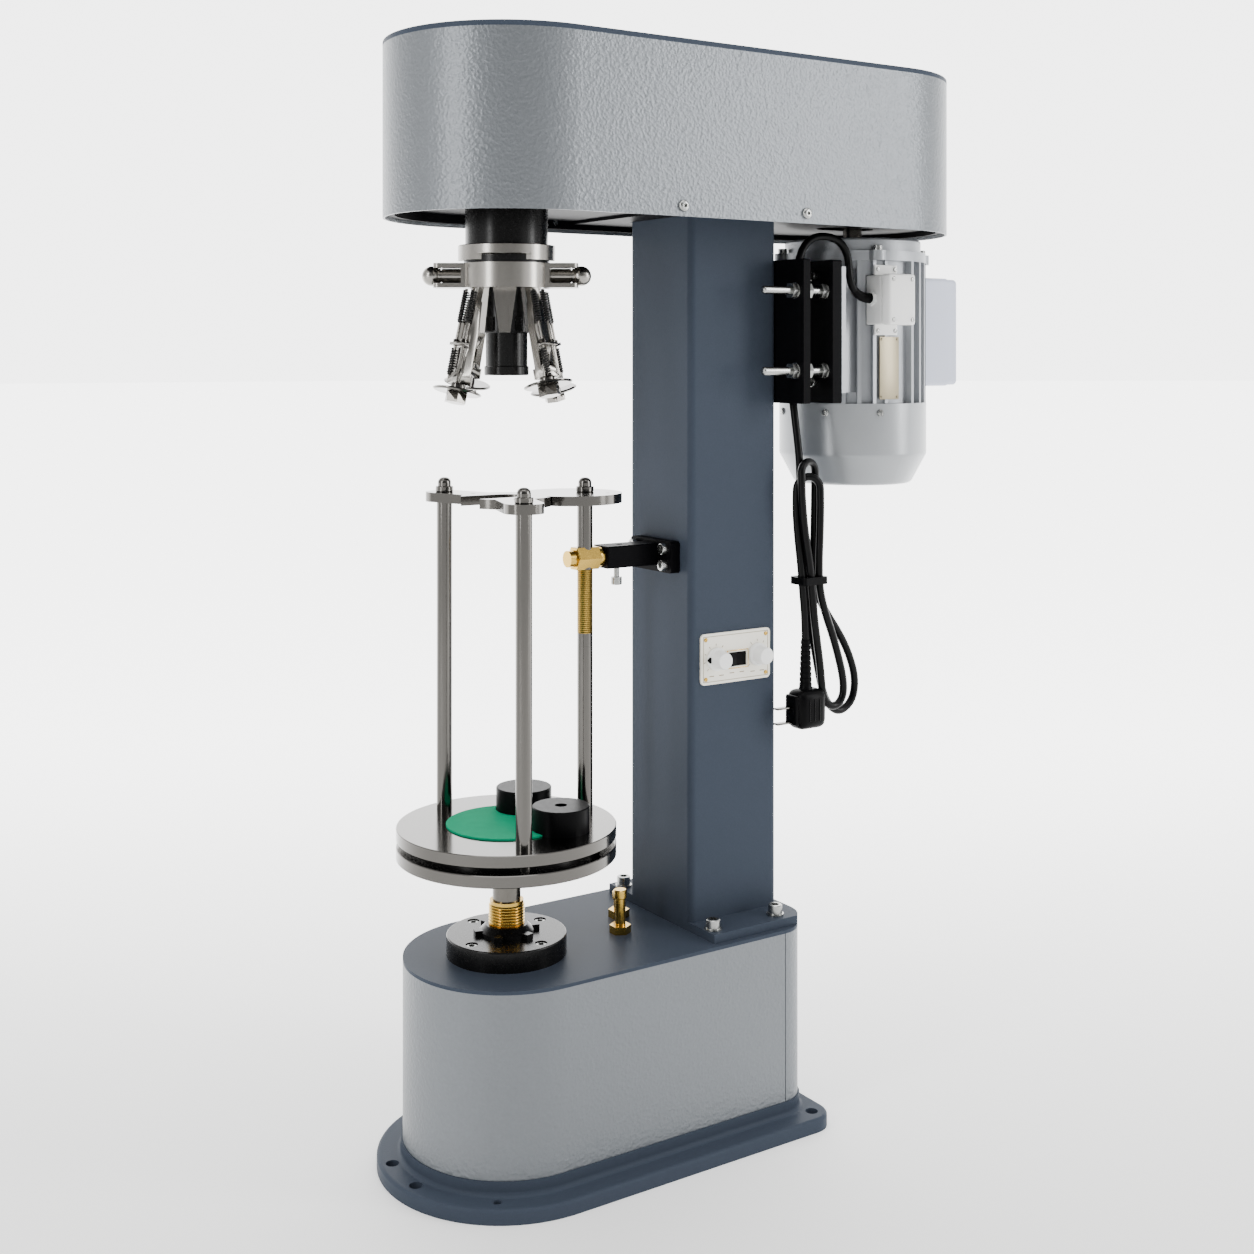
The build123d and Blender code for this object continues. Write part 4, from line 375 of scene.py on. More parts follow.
def slotted_screw(name, radius, height, matrix):
    """A cheese-head screw with a driver slot across its face, standing on local Z."""
    dome = ((radius, 0), (radius, height * 0.55), (radius * 0.8, height * 0.9), (radius * 0.3, height))
    head = turned(name, dome, 24)
    reach, half = radius * 1.1, radius * 0.14
    slot = block(name + "_slot", (-reach, -half, height * 0.6), (reach, half, height * 2), 0.02)
    cut(head, slot)
    return settle(head, matrix)


def cut(obj, cutter):
    """Cuts one piece out of another and throws the cutter away."""
    clear()
    obj.select_set(True)
    bpy.context.view_layer.objects.active = obj
    modifier = obj.modifiers.new("cut", "BOOLEAN")
    modifier.operation = "DIFFERENCE"
    modifier.object = cutter
    modifier.solver = "EXACT"
    bpy.ops.object.modifier_apply(modifier=modifier.name)
    clear()
    cutter.select_set(True)
    bpy.context.view_layer.objects.active = cutter
    bpy.ops.object.delete()


def coil_spring(name, radius, wire, pitch, length):
    """A helical spring on the Z axis from 0 to its length, in metres, spun from a ring of wire."""
    clear()
    bpy.ops.mesh.primitive_circle_add(
        vertices=8, radius=wire, location=(radius - wire, 0, wire), rotation=(math.radians(90), 0, 0)
    )
    obj = bpy.context.object
    obj.name = name
    bpy.ops.object.transform_apply(location=True, rotation=True, scale=True)
    turns = max(2, round((length - 2 * wire) / pitch))
    screw = obj.modifiers.new("coil", "SCREW")
    screw.axis = "Z"
    screw.angle = 2 * math.pi
    screw.screw_offset = (length - 2 * wire) / turns
    screw.iterations = turns
    screw.steps = 16
    screw.render_steps = 16
    screw.use_smooth_shade = True
    bpy.ops.object.modifier_apply(modifier=screw.name)
    bpy.ops.object.mode_set(mode="EDIT")
    tidy_mesh()
    bpy.ops.object.mode_set(mode="OBJECT")
    return settle(obj)


def place(obj, body, material, slot, *nodes):
    """Gives a piece its material and hangs it on its body, in place of CAD nodes where some are named."""
    obj.data.materials.clear()
    obj.data.materials.append(material)
    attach(obj, body)
    if nodes:
        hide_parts(*nodes)
    return obj


# Materials: one small node maker, one base, and a function for each real finish


def add(tree, kind, inputs=None, **settings):
    """Adds a node, sets its properties, and fills or links its inputs."""
    new = tree.nodes.new(kind)
    for key, value in settings.items():
        setattr(new, key, value)
    for key, value in (inputs or {}).items():
        if isinstance(value, bpy.types.NodeSocket):
            tree.links.new(value, new.inputs[key])
        else:
            new.inputs[key].default_value = value
    return new


def surface(name, colour, metallic, roughness, **shader):
    """A named material with plain shader values, its shader, and object coordinates to build on."""
    material = bpy.data.materials.new(name)
    material.use_nodes = True
    tree = material.node_tree
    principled = tree.nodes["Principled BSDF"]
    principled.inputs["Base Color"].default_value = colour
    principled.inputs["Metallic"].default_value = metallic
    principled.inputs["Roughness"].default_value = roughness
    for key, value in shader.items():
        principled.inputs[key.replace("_", " ")].default_value = value
    coordinates = add(tree, "ShaderNodeTexCoord").outputs["Object"]
    return material, tree, principled, coordinates


def grain(tree, coordinates, size, detail, stretch=(1, 1, 1)):
    """Noise with cells of a given size in metres, drawn out along an axis where stretch is small."""
    placed = add(tree, "ShaderNodeMapping", {"Vector": coordinates, "Scale": stretch}).outputs["Vector"]
    noise = {"Vector": placed, "Scale": 1 / size, "Detail": detail}
    return add(tree, "ShaderNodeTexNoise", noise).outputs["Fac"]


def relief(tree, principled, height, depth, strength):
    bump = add(tree, "ShaderNodeBump", {"Height": height, "Distance": depth, "Strength": strength})
    tree.links.new(bump.outputs["Normal"], principled.inputs["Normal"])


def tint(tree, principled, factor, colour, spread):
    """Varies the colour a little about its own value with a pattern."""
    dark = [c * (1 - spread) for c in colour[:3]] + [1]
    light = [min(1, c * (1 + spread)) for c in colour[:3]] + [1]
    mix = add(tree, "ShaderNodeMix", data_type="RGBA")
    mix.inputs[6].default_value = dark
    mix.inputs[7].default_value = light
    tree.links.new(factor, mix.inputs[0])
    tree.links.new(mix.outputs[2], principled.inputs["Base Color"])


def vary_roughness(tree, principled, factor, low, high):
    spread = add(tree, "ShaderNodeMapRange", {"Value": factor, "To Min": low, "To Max": high})
    tree.links.new(spread.outputs["Result"], principled.inputs["Roughness"])


def hammered_enamel(settings):
    """Hammer-finish enamel on sheet steel: a pebbled skin that breaks each highlight into flecks."""
    material, tree, principled, place_on = surface("hammered_silver_enamel", settings.silver, 0.55, 0.36)
    pebbles = add(
        tree,
        "ShaderNodeTexVoronoi",
        {"Vector": place_on, "Scale": 1 / settings.pebble, "Smoothness": 0.7, "Randomness": 1.0},
        feature="SMOOTH_F1",
    ).outputs["Distance"]
    ripple = grain(tree, place_on, 0.0022, 2)
    height = add(tree, "ShaderNodeMath", {0: pebbles, 1: ripple}, operation="MULTIPLY").outputs[0]
    relief(tree, principled, height, 0.0008, 0.8)
    tint(tree, principled, grain(tree, place_on, 0.003, 3), settings.silver, 0.07)
    return material


def satin_paint(settings):
    """Satin blue-grey powder coat: an even colour with a fine orange peel that softens reflections."""
    material, tree, principled, place_on = surface(
        "satin_blue_grey_paint", settings.blue_grey, 0.0, 0.42, Specular_IOR_Level=0.04
    )
    relief(tree, principled, grain(tree, place_on, 0.0016, 3), 0.00018, 0.5)
    tint(tree, principled, grain(tree, place_on, 0.0009, 2), settings.blue_grey, 0.10)
    return material


def black_paint():
    """Black stove enamel on plate: satin, with a faint peel."""
    colour = linear("08080A")
    material, tree, principled, place_on = surface(
        "satin_black_enamel", colour, 0.0, 0.44, Specular_IOR_Level=0.03
    )
    relief(tree, principled, grain(tree, place_on, 0.0018, 2), 0.00012, 0.5)
    tint(tree, principled, grain(tree, place_on, 0.004, 2), colour, 0.15)
    return material


def black_oxide():
    """Turned steel with a black oxide: dark and oily, with an uneven sheen."""
    colour = linear("101010")
    material, tree, principled, place_on = surface(
        "black_oxide_steel", colour, 0.35, 0.22, Specular_IOR_Level=0.3
    )
    vary_roughness(tree, principled, grain(tree, place_on, 0.003, 3), 0.16, 0.34)
    tint(tree, principled, grain(tree, place_on, 0.006, 2), colour, 0.2)
    return material


def polished_stainless():
    """Polished stainless: near mirror, with faint drawn lines along the bar."""
    colour = linear("605E5B")
    material, tree, principled, place_on = surface("polished_stainless_steel", colour, 1.0, 0.13)
    # The real lines are finer than 0.1 mm, and are drawn coarser so that they show
    lines = grain(tree, place_on, 0.0006, 2, (1, 1, 0.02))
    vary_roughness(tree, principled, lines, 0.09, 0.2)
    relief(tree, principled, lines, 0.00003, 0.25)
    return material


def turned_stainless():
    """Turned stainless plate: fine tool rings that draw the highlight out round the disc."""
    colour = linear("64615C")
    material, tree, principled, place_on = surface("turned_stainless_steel", colour, 1.0, 0.2)
    centred = add(tree, "ShaderNodeMapping", {"Vector": place_on, "Location": (0, MIDDLE_Y * MM, 0)})
    # The real rings are about 0.2 mm apart, and are drawn 1.4 mm apart so that they show
    rings = add(
        tree,
        "ShaderNodeTexWave",
        {
            "Vector": centred.outputs["Vector"],
            "Scale": WAVE_PERIOD / 0.001413,
            "Distortion": 0.3,
            "Detail": 1.0,
        },
        wave_type="RINGS",
        rings_direction="Z",
    ).outputs["Fac"]
    relief(tree, principled, rings, 0.00002, 0.3)
    vary_roughness(tree, principled, grain(tree, place_on, 0.002, 2, (1, 1, 6)), 0.14, 0.26)
    return material


def machined_steel():
    """Machined steel of the roller arms: a milled grey with soft edges to its highlights."""
    colour = linear("989590")
    material, tree, principled, place_on = surface("machined_steel", colour, 1.0, 0.26)
    vary_roughness(tree, principled, grain(tree, place_on, 0.004, 2, (1, 1, 0.2)), 0.22, 0.28)
    tint(tree, principled, grain(tree, place_on, 0.02, 2), colour, 0.03)
    return material


def zinc_plate():
    """Bright zinc on screws and studs: slightly cloudy, with a cool cast."""
    colour = linear("A2A3A1")
    material, tree, principled, place_on = surface("bright_zinc_plate", colour, 1.0, 0.27)
    tint(tree, principled, grain(tree, place_on, 0.003, 2), colour, 0.1)
    return material


def spring_steel():
    """Blackened spring wire: dark and lightly glossy."""
    colour = linear("151515")
    material, tree, principled, place_on = surface("black_spring_wire", colour, 0.6, 0.32)
    tint(tree, principled, grain(tree, place_on, 0.002, 2), colour, 0.25)
    return material


def turned_brass():
    """Bare turned brass: warm, clean on its flats and a little dull where it has aged."""
    colour = linear("C4A14E")
    material, tree, principled, place_on = surface("turned_brass", colour, 1.0, 0.2)
    cloud = grain(tree, place_on, 0.006, 3)
    tint(tree, principled, cloud, colour, 0.08)
    vary_roughness(tree, principled, cloud, 0.15, 0.3)
    return material


def threaded_brass(pitch):
    """Brass with a fine rolled thread, whose turns stand one above the other; its roots carry painted
    shade and its crests a painted highlight.
    """
    colour = linear("A08340")
    material, tree, principled, place_on = surface("fine_threaded_brass", colour, 1.0, 0.3)
    turns = add(
        tree,
        "ShaderNodeTexWave",
        {"Vector": place_on, "Scale": WAVE_PERIOD / pitch, "Distortion": 0.0},
        bands_direction="Z",
        wave_profile="TRI",
    ).outputs["Fac"]
    relief(tree, principled, turns, 0.0006, 1.0)
    # Painted shade in the thread's roots and a painted highlight on its crests: the colour follows the
    # same turns as the relief
    tint(tree, principled, turns, colour, 0.45)
    return material


def pad_rubber(settings):
    """Moulded green rubber: matt, faintly mottled, with a soft skin."""
    material, tree, principled, place_on = surface(
        "green_grip_rubber", settings.pad_green, 0.0, 0.75, Specular_IOR_Level=0.02
    )
    relief(tree, principled, grain(tree, place_on, 0.0012, 3), 0.00015, 0.5)
    tint(tree, principled, grain(tree, place_on, 0.010, 3), settings.pad_green, 0.12)
    return material


def black_rubber():
    """Black belt rubber: matt and dusty."""
    colour = linear("1A1A1A")
    material, tree, principled, place_on = surface("black_belt_rubber", colour, 0.0, 0.7)
    relief(tree, principled, grain(tree, place_on, 0.0015, 3), 0.0002, 0.6)
    return material


def cast_aluminium():
    """Die-cast aluminium under a thin grey coat: a fine sandy skin."""
    colour = linear("9C9FA3")
    material, tree, principled, place_on = surface("coated_cast_aluminium", colour, 0.55, 0.42)
    relief(tree, principled, grain(tree, place_on, 0.0014, 4), 0.00025, 0.5)
    tint(tree, principled, grain(tree, place_on, 0.012, 2), colour, 0.05)
    return material


def fan_cover_paint():
    """Grey enamel on the pressed fan cover, a shade darker than the castings."""
    colour = linear("999C9F")
    material, tree, principled, place_on = surface("pressed_cover_enamel", colour, 0.35, 0.3)
    relief(tree, principled, grain(tree, place_on, 0.0022, 2), 0.00012, 0.5)
    tint(tree, principled, grain(tree, place_on, 0.02, 2), colour, 0.04)
    return material


def cast_iron():
    """Machined grey iron: dark, open-grained and barely bright."""
    colour = linear("57585A")
    material, tree, principled, place_on = surface("machined_grey_iron", colour, 0.8, 0.5)
    relief(tree, principled, grain(tree, place_on, 0.001, 4), 0.0002, 0.5)
    return material


def moulded_plastic(name, hex_colour, roughness):
    """Injection-moulded plastic: an even colour with a slight unevenness in its gloss."""
    colour = linear(hex_colour)
    material, tree, principled, place_on = surface(
        name, colour, 0.0, roughness, Specular_IOR_Level=0.06
    )
    vary_roughness(tree, principled, grain(tree, place_on, 0.004, 2), roughness * 0.85, roughness * 1.15)
    relief(tree, principled, grain(tree, place_on, 0.001, 2), 0.00005, 0.4)
    return material


def panel_enamel():
    """Cream enamel on a thin sheet-metal plate: glossy, with a hint of unevenness."""
    colour = linear("F3EFE2")
    material, tree, principled, place_on = surface("cream_panel_enamel", colour, 0.0, 0.26)
    tint(tree, principled, grain(tree, place_on, 0.008, 2), colour, 0.02)
    return material


def cable_sheath():
    """Flexible black sheath: glossy, with a long soft highlight and slight ripples."""
    colour = linear("070708")
    material, tree, principled, place_on = surface(
        "flexible_black_sheath", colour, 0.0, 0.28, Specular_IOR_Level=0.12
    )
    relief(tree, principled, grain(tree, place_on, 0.006, 2), 0.0002, 0.4)
    return material


def champagne_plate():
    """Anodised aluminium of the bare rating plate: pale champagne with a drawn grain."""
    colour = linear("938A74")
    material, tree, principled, place_on = surface("champagne_anodised_plate", colour, 0.9, 0.34)
    # The real grain is finer, and is drawn at 0.5 mm so that it shows
    vary_roughness(tree, principled, grain(tree, place_on, 0.0005, 2, (1, 1, 0.03)), 0.26, 0.42)
    return material


def printing_ink():
    """Screen-printed ink on the panel: a thin matt tan."""
    colour = linear("8C7C5C")
    material, tree, principled, place_on = surface("panel_printing_ink", colour, 0.0, 0.5)
    tint(tree, principled, grain(tree, place_on, 0.002, 2), colour, 0.06)
    return material


def make_finishes(settings, detail):
    """Every finish of the machine by the name of its slot in the record."""
    return {
        "silver_paint": hammered_enamel(settings),
        "blue_grey_paint": satin_paint(settings),
        "black_paint": black_paint(),
        "black_steel": black_oxide(),
        "polished_steel": polished_stainless(),
        "turned_steel": turned_stainless(),
        "arm_steel": machined_steel(),
        "zinc_steel": zinc_plate(),
        "spring_steel": spring_steel(),
        "brass": turned_brass(),
        "threaded_brass": threaded_brass(detail.rod_pitch),
        "pad_rubber": pad_rubber(settings),
        "black_rubber": black_rubber(),
        "cast_aluminium": cast_aluminium(),
        "cover_grey": fan_cover_paint(),
        "cast_iron": cast_iron(),
        "white_plastic": moulded_plastic("moulded_white_thermoset", "F2F2F0", 0.28),
        "pale_plastic": moulded_plastic("moulded_pale_abs", "D0D5E6", 0.3),
        "panel_plate": panel_enamel(),
        "black_plastic": moulded_plastic("moulded_black_nylon", "050506", 0.36),
        "cable": cable_sheath(),
        "rating_plate": champagne_plate(),
        "ink": printing_ink(),
    }


NODE_SLOTS = {entry["node"]: entry["material_slot"] for entry in frame["record"]["subparts"]}
BRIGHT_HEAD_PIECES = ("arm_", "yoke", "ring_nut")
FINISHES = {}


def dress(obj, slot):
    obj.data.materials.clear()
    obj.data.materials.append(FINISHES[slot])


class CAPPER_OT_finishes(bpy.types.Operator):
    """Makes the finishes and gives each CAD solid the one its slot names, except the arms, yoke and ring
    nut, which get machined steel
    """

    bl_idname = "capper.finishes"
    bl_label = "Finishes"

    def execute(self, context):
        FINISHES.update(make_finishes(context.scene.capper_finish, context.scene.capper_detail))
        for name, obj in frame["nodes"].items():
            dress(obj, "arm_steel" if name.startswith(BRIGHT_HEAD_PIECES) else NODE_SLOTS[name])
        return {"FINISHED"}


# The lead: one smooth line through the route and the hank, its strain relief, and the plug


def route_curve(name, points):
    curve = bpy.data.curves.new(name, "CURVE")
    curve.dimensions = "3D"
    spline = curve.splines.new("NURBS")
    spline.points.add(len(points) - 1)
    for point, place_mm in zip(spline.points, points):
        point.co = (*at(*place_mm), 1)
    spline.order_u = 3
    spline.use_endpoint_u = True
    spline.resolution_u = 8
    obj = bpy.data.objects.new(name, curve)
    bpy.context.collection.objects.link(obj)
    return obj


def line_of(obj):
    """The points of a curve's own centreline, and its length."""
    bpy.context.view_layer.update()
    mesh = bpy.data.meshes.new_from_object(obj)
    points = [vertex.co.copy() for vertex in mesh.vertices]
    bpy.data.meshes.remove(mesh)
    return points, sum((b - a).length for a, b in zip(points, points[1:]))


def tapered_sleeve(name, points, length, start, end):
    """A ribbed rubber sleeve along the first part of a line."""
    curve = bpy.data.curves.new(name, "CURVE")
    curve.dimensions = "3D"
    curve.bevel_depth = 1.0
    curve.bevel_resolution = 6
    curve.use_fill_caps = True
    kept = [points[0]]
    travelled = 0
    for before, after in zip(points, points[1:]):
        travelled += (after - before).length
        if travelled > length:
            break
        kept.append(after)
    spline = curve.splines.new("POLY")
    spline.points.add(len(kept) - 1)
    for number, (point, place_m) in enumerate(zip(spline.points, kept)):
        share = number / (len(kept) - 1)
        point.co = (*place_m, 1)
        point.radius = (start + (end - start) * share) * MM
    obj = bpy.data.objects.new(name, curve)
    bpy.context.collection.objects.link(obj)
    clear()
    obj.select_set(True)
    bpy.context.view_layer.objects.active = obj
    bpy.ops.object.convert(target="MESH")
    return settle(bpy.context.object)


def make_plug():
    """The plug body: a block with a narrower face at its pin end, and moulded grip bars."""
    body = block("plug_body", (53.6, 268.5, 354), (78.4, 302, 391), 8, FROM_SPINDLE)
    face = block("plug_face", (57.5, 266, 358.5), (74.5, 270, 386.5), 1.8, FROM_SPINDLE)
    bars = [block("plug_bar", (53, y, 362), (79, y + 2, 383), 0.9, FROM_SPINDLE) for y in (278, 284, 290)]
    return join("lead_plug", [body, face, *bars])


def make_plug_pins():
    pins = [
        block("plug_pin", (62.75, 248, z - 0.8), (69.25, 266.5, z + 0.8), 0.5, FROM_SPINDLE)
        for z in (361.5, 375.5)
    ]
    return join("lead_plug_pins", pins)


def make_plug_sleeve():
    rings = [(6.4, 388), (6.4, 392)]
    for number in range(9):
        height = 393 + 5 * number
        radius = 6.0 - 0.17 * number
        groove = radius - 0.6
        rings += [(radius, height), (radius, height + 3), (groove, height + 3.4), (groove, height + 4.6)]
    return turned("lead_plug_sleeve", rings, 32, shift(66, 284, 0))


class CAPPER_OT_lead(bpy.types.Operator):
    """Runs the mains lead from its gland over the motor plates into its tied hank"""

    bl_idname = "capper.lead"
    bl_label = "Mains lead"

    def execute(self, context):
        lead = route_curve("mains_lead", CORD_ROUTE + HANK_ROUTE)
        line, length = line_of(lead)
        lead.data.bevel_depth = context.scene.capper_detail.cord_diameter / 2
        lead.data.bevel_resolution = 6
        lead.data.use_fill_caps = True
        place(lead, "frame", FINISHES["cable"], "cable", "cord_tube", "cord_hank")
        relief_sleeve = tapered_sleeve("lead_relief", line, RELIEF_LENGTH * MM, *RELIEF_RADII)
        place(relief_sleeve, "frame", FINISHES["black_plastic"], "black_plastic")
        plug = place(make_plug(), "frame", FINISHES["black_plastic"], "black_plastic", "cord_plug")
        sleeve = place(make_plug_sleeve(), "frame", FINISHES["black_plastic"], "black_plastic")
        pins = place(make_plug_pins(), "frame", FINISHES["polished_steel"], "polished_steel")
        return {"FINISHED"}


# The roller arms: the CAD arm without its plain spring tubes, and coiled springs in their place


def arm_place(turn):
    return (
        FROM_SPINDLE
        @ Matrix.Rotation(math.radians(turn), 4, "Z")
        @ Matrix.Translation((ARM_PIVOT[0] * MM, 0, ARM_PIVOT[1] * MM))
        @ Matrix.Rotation(math.radians(-ARM_LEAN), 4, "Y")
    )


def is_spring(part, inverse):
    """Tells a plain spring tube of the CAD arm by how far its points lie from a spring's axis."""
    low, high = (limit * MM for limit in SPRING_TUBE_LIMITS)
    for side in (-1, 1):
        axis = Vector((SPRING_OFFSET * MM, side * SPRING_SPREAD * MM))
        reach = [((inverse @ vertex.co).to_2d() - axis).length for vertex in part.data.vertices]
        if low < min(reach) and max(reach) < high:
            return True
    return False


def arm_without_springs(number, matrix):
    clear()
    node = frame["nodes"][f"arm_{number}"]
    node.select_set(True)
    bpy.context.view_layer.objects.active = node
    bpy.ops.object.duplicate(linked=False)
    copy = bpy.context.object
    copy.parent = None
    copy.matrix_world = Matrix()
    bpy.ops.object.mode_set(mode="EDIT")
    bpy.ops.mesh.select_all(action="SELECT")
    bpy.ops.mesh.remove_doubles(threshold=0.000001)
    bpy.ops.mesh.separate(type="LOOSE")
    bpy.ops.object.mode_set(mode="OBJECT")
    inverse = matrix.inverted()
    parts = list(bpy.context.selected_objects)
    springs = [part for part in parts if is_spring(part, inverse)]
    kept = [part for part in parts if part not in springs]
    clear()
    for part in springs:
        part.select_set(True)
    bpy.ops.object.delete()
    return settle(join(f"roller_arm_{number}", kept))


class CAPPER_OT_arms(bpy.types.Operator):
    """Builds the four roller arms with their coiled springs"""

    bl_idname = "capper.arms"
    bl_label = "Roller arms"

    def execute(self, context):
        detail = context.scene.capper_detail
        coils = []
        for name, (low, high) in (("upper", UPPER_SPRING), ("lower", LOWER_SPRING)):
            size = (SPRING_RADIUS * MM, detail.spring_wire, detail.spring_pitch, (high - low) * MM)
            coils.append(coil_spring(f"{name}_coil", *size))
        for number, turn in enumerate(ARM_TURNS, 1):
            matrix = arm_place(turn)
            body = arm_without_springs(number, matrix)
            place(body, f"arm_{number}", FINISHES["arm_steel"], "polished_steel", f"arm_{number}")
            upper, lower = UPPER_SPRING[0], LOWER_SPRING[0]
            springs = []
            for coil, side, low in ((coils[0], -1, upper), (coils[0], 1, upper), (coils[1], -1, lower)):
                offset = Matrix.Translation((SPRING_OFFSET * MM, side * SPRING_SPREAD * MM, low * MM))
                springs.append(copy_of(coil, matrix @ offset))
            joined = join(f"arm_springs_{number}", springs)
            place(joined, f"arm_{number}", FINISHES["spring_steel"], "spring_steel")
        clear()
        for coil in coils:
            coil.select_set(True)
        bpy.ops.object.delete()
        return {"FINISHED"}


# Capping head: the cone's ground facets, the black band over the collar, and the chuck's own spring


def make_cone_facets():
    """Six ground flats that narrow downwards: each is a flattened four-sided taper laid on the cone."""
    flats = []
    # A ring of four points is given by its corners, which lie 1.414 half widths out
    foot, top = (half * 1.414 for half in FACET_HALF_WIDTHS)
    profile = ((foot, -CONE_HEIGHT), (top, 0))
    square = Matrix.Rotation(math.radians(45), 4, "Z")
    lean = Matrix.Rotation(math.radians(-FACET_LEAN), 4, "Y")
    flatten = Matrix.Diagonal((FACET_THICKNESS, 1, 1, 1))
    for number in range(FACET_COUNT):
        taper = turned("facet", profile, 4, square)
        spin = Matrix.Rotation(math.radians(FACET_TURN + 360 / FACET_COUNT * number), 4, "Z")
        out = Matrix.Translation((CONE_REACH * MM, 0, 0))
        flats.append(settle(taper, shift(0, 0, CONE_TOP) @ spin @ out @ lean @ flatten))
    return join("cone_facets", flats)


class CAPPER_OT_head(bpy.types.Operator):
    """Adds the cone's ground facets, the collar's black band and the coiled chuck spring"""

    bl_idname = "capper.head"
    bl_label = "Capping head"

    def execute(self, context):
        place(make_cone_facets(), "spindle", FINISHES["arm_steel"], "turned_steel")
        band = turned("collar_band", tube_profile(BAND_RADII, BAND_HEIGHTS), 96, FROM_SPINDLE)
        place(band, "spindle", FINISHES["black_steel"], "black_steel")
        size = (CHUCK_SPRING_RADIUS, CHUCK_SPRING_WIRE, CHUCK_SPRING_PITCH, CHUCK_SPRING_LENGTH)
        spring = coil_spring("chuck_coil", *(length * MM for length in size))
        settle(spring, FROM_SPINDLE @ Matrix.Translation((0, 0, CHUCK_SPRING_FOOT * MM)))
        place(spring, "spindle", FINISHES["spring_steel"], "spring_steel", "chuck_spring")
        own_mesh(spring)
        return {"FINISHED"}


# Threads that the CAD keeps plain


def thread_rings(radius, depth, low, high, pitch):
    """Crests and roots of a thread, close enough together to read as one."""
    count = int((high - low) / pitch)
    rings = []
    for number in range(count):
        start = low + number * pitch
        rings += [(radius - depth, start), (radius, start + pitch * 0.4), (radius, start + pitch * 0.55)]
    return rings + [(radius - depth, low + count * pitch)]


class CAPPER_OT_threads(bpy.types.Operator):
    """Cuts the threads of the height sleeve and of the rear guide rod"""

    bl_idname = "capper.threads"
    bl_label = "Threads"

    def execute(self, context):
        bore, outside = SLEEVE_RADII
        foot, top = SLEEVE_HEIGHTS
        rings = thread_rings(15.75, 1.0, *SLEEVE_THREAD, context.scene.capper_detail.sleeve_pitch / MM)
        plain = [(bore, foot), (outside, foot), (outside, 206.4)]
        profile = [*plain, *rings, (14.8, top), (bore, top), (bore, foot)]
        sleeve = turned("threaded_sleeve", profile, 64, FROM_SPINDLE)
        place(sleeve, "frame", FINISHES["brass"], "brass", "height_sleeve")
        profile = tube_profile(ROD_THREAD_RADII, ROD_THREAD)
        thread = turned("rod_thread", profile, 48, shift(0, REAR_ROD_Y, 0))
        place(thread, "table", FINISHES["threaded_brass"], "brass")
        return {"FINISHED"}


# Motor: terminal box, bare rating plate, cover screws


def facing_x(x, y, z):
    """Turns a piece that stands on local Z to stand on +X at a place on the machine."""
    return shift(x, y, z) @ Matrix.Rotation(math.radians(90), 4, "Y")


def make_terminal_box():
    parts = [
        block("box_body", (57, 367.2, 733.6), (78.6, 399.7, 781.4), 1.6, FROM_SPINDLE),
        block("box_lid", (78.9, 366.6, 733), (92, 400.3, 782), 2.6, FROM_SPINDLE),
        block("box_tab_top", (66, 369, 780), (68.5, 398, 791.5), 0.6, FROM_SPINDLE),
        block("box_tab_foot", (66, 369, 723.5), (68.5, 398, 735), 0.6, FROM_SPINDLE),
    ]
    hexagon = ((7.4, 0), (7.4, 2.4), (5.8, 3.1), (5.8, 3.4))
    nut = turned("gland_nut", hexagon, 6, shift(*GLAND) @ Matrix.Rotation(math.radians(90), 4, "X"))
    return join("terminal_housing", parts + [nut])


def make_box_screws():
    places = [(68.5, y, z) for y in (372.5, 394.5) for z in (787.5, 727.8)]
    places += [(91.8, y, z) for y in (371.5, 395.5) for z in (738, 777)]
    screws = [slotted_screw("box_screw", 2.2, 1.4, facing_x(*spot)) for spot in places]
    return join("terminal_screws", screws)


def make_rating_plate():
    plate = block("rating_plate", (66.0, 376.5, 661), (66.7, 401.5, 722), 0.25, FROM_SPINDLE)
    rivets = [
        turned("plate_rivet", ((1.3, 0), (1.3, 0.5), (0.7, 0.9)), 16, facing_x(66.6, y, z))
        for y in (379, 399)
        for z in (663.5, 719.5)
    ]
    return join("bare_rating_plate", [plate, *rivets])


def make_cover_screws():
    screws = []
    out = Matrix.Translation((COVER_SCREW_REACH * MM, 0, 0))
    for turn in COVER_SCREW_TURNS:
        matrix = shift(0, MOTOR_Y, COVER_SCREW_Z) @ Matrix.Rotation(math.radians(turn), 4, "Z") @ out
        lying = matrix @ Matrix.Rotation(math.radians(90), 4, "Y")
        screws.append(slotted_screw("cover_screw", 3.6, 2.4, lying))
    return join("fan_cover_screws", screws)


class CAPPER_OT_motor(bpy.types.Operator):
    """Dresses the drive motor with its terminal box, bare plate and cover screws"""

    bl_idname = "capper.motor"
    bl_label = "Drive motor"

    def execute(self, context):
        place(make_terminal_box(), "frame", FINISHES["white_plastic"], "white_plastic", "terminal_box")
        place(make_box_screws(), "frame", FINISHES["zinc_steel"], "zinc_steel")
        place(make_rating_plate(), "frame", FINISHES["rating_plate"], "zinc_steel")
        place(make_cover_screws(), "frame", FINISHES["zinc_steel"], "zinc_steel")
        return {"FINISHED"}


# Control panel: line, corner screws, dial ticks, gold window frame, knob pointers


def on_panel(name, y0, y1, z0, z1, proud=0.15, base=FRONT_OF_PANEL):
    return block(name, (base - 0.05, y0, z0), (base + proud, y1, z1), 0.05, FROM_SPINDLE)


def four_strips(name, edges, line, proud=0.15, base=FRONT_OF_PANEL):
    """Strips of one width along the inside of a rectangle's edges."""
    y0, y1, z0, z1 = edges
    return [
        on_panel(name, y0, y1, z0, z0 + line, proud, base),
        on_panel(name, y0, y1, z1 - line, z1, proud, base),
        on_panel(name, y0, y0 + line, z0, z1, proud, base),
        on_panel(name, y1 - line, y1, z0, z1, proud, base),
    ]


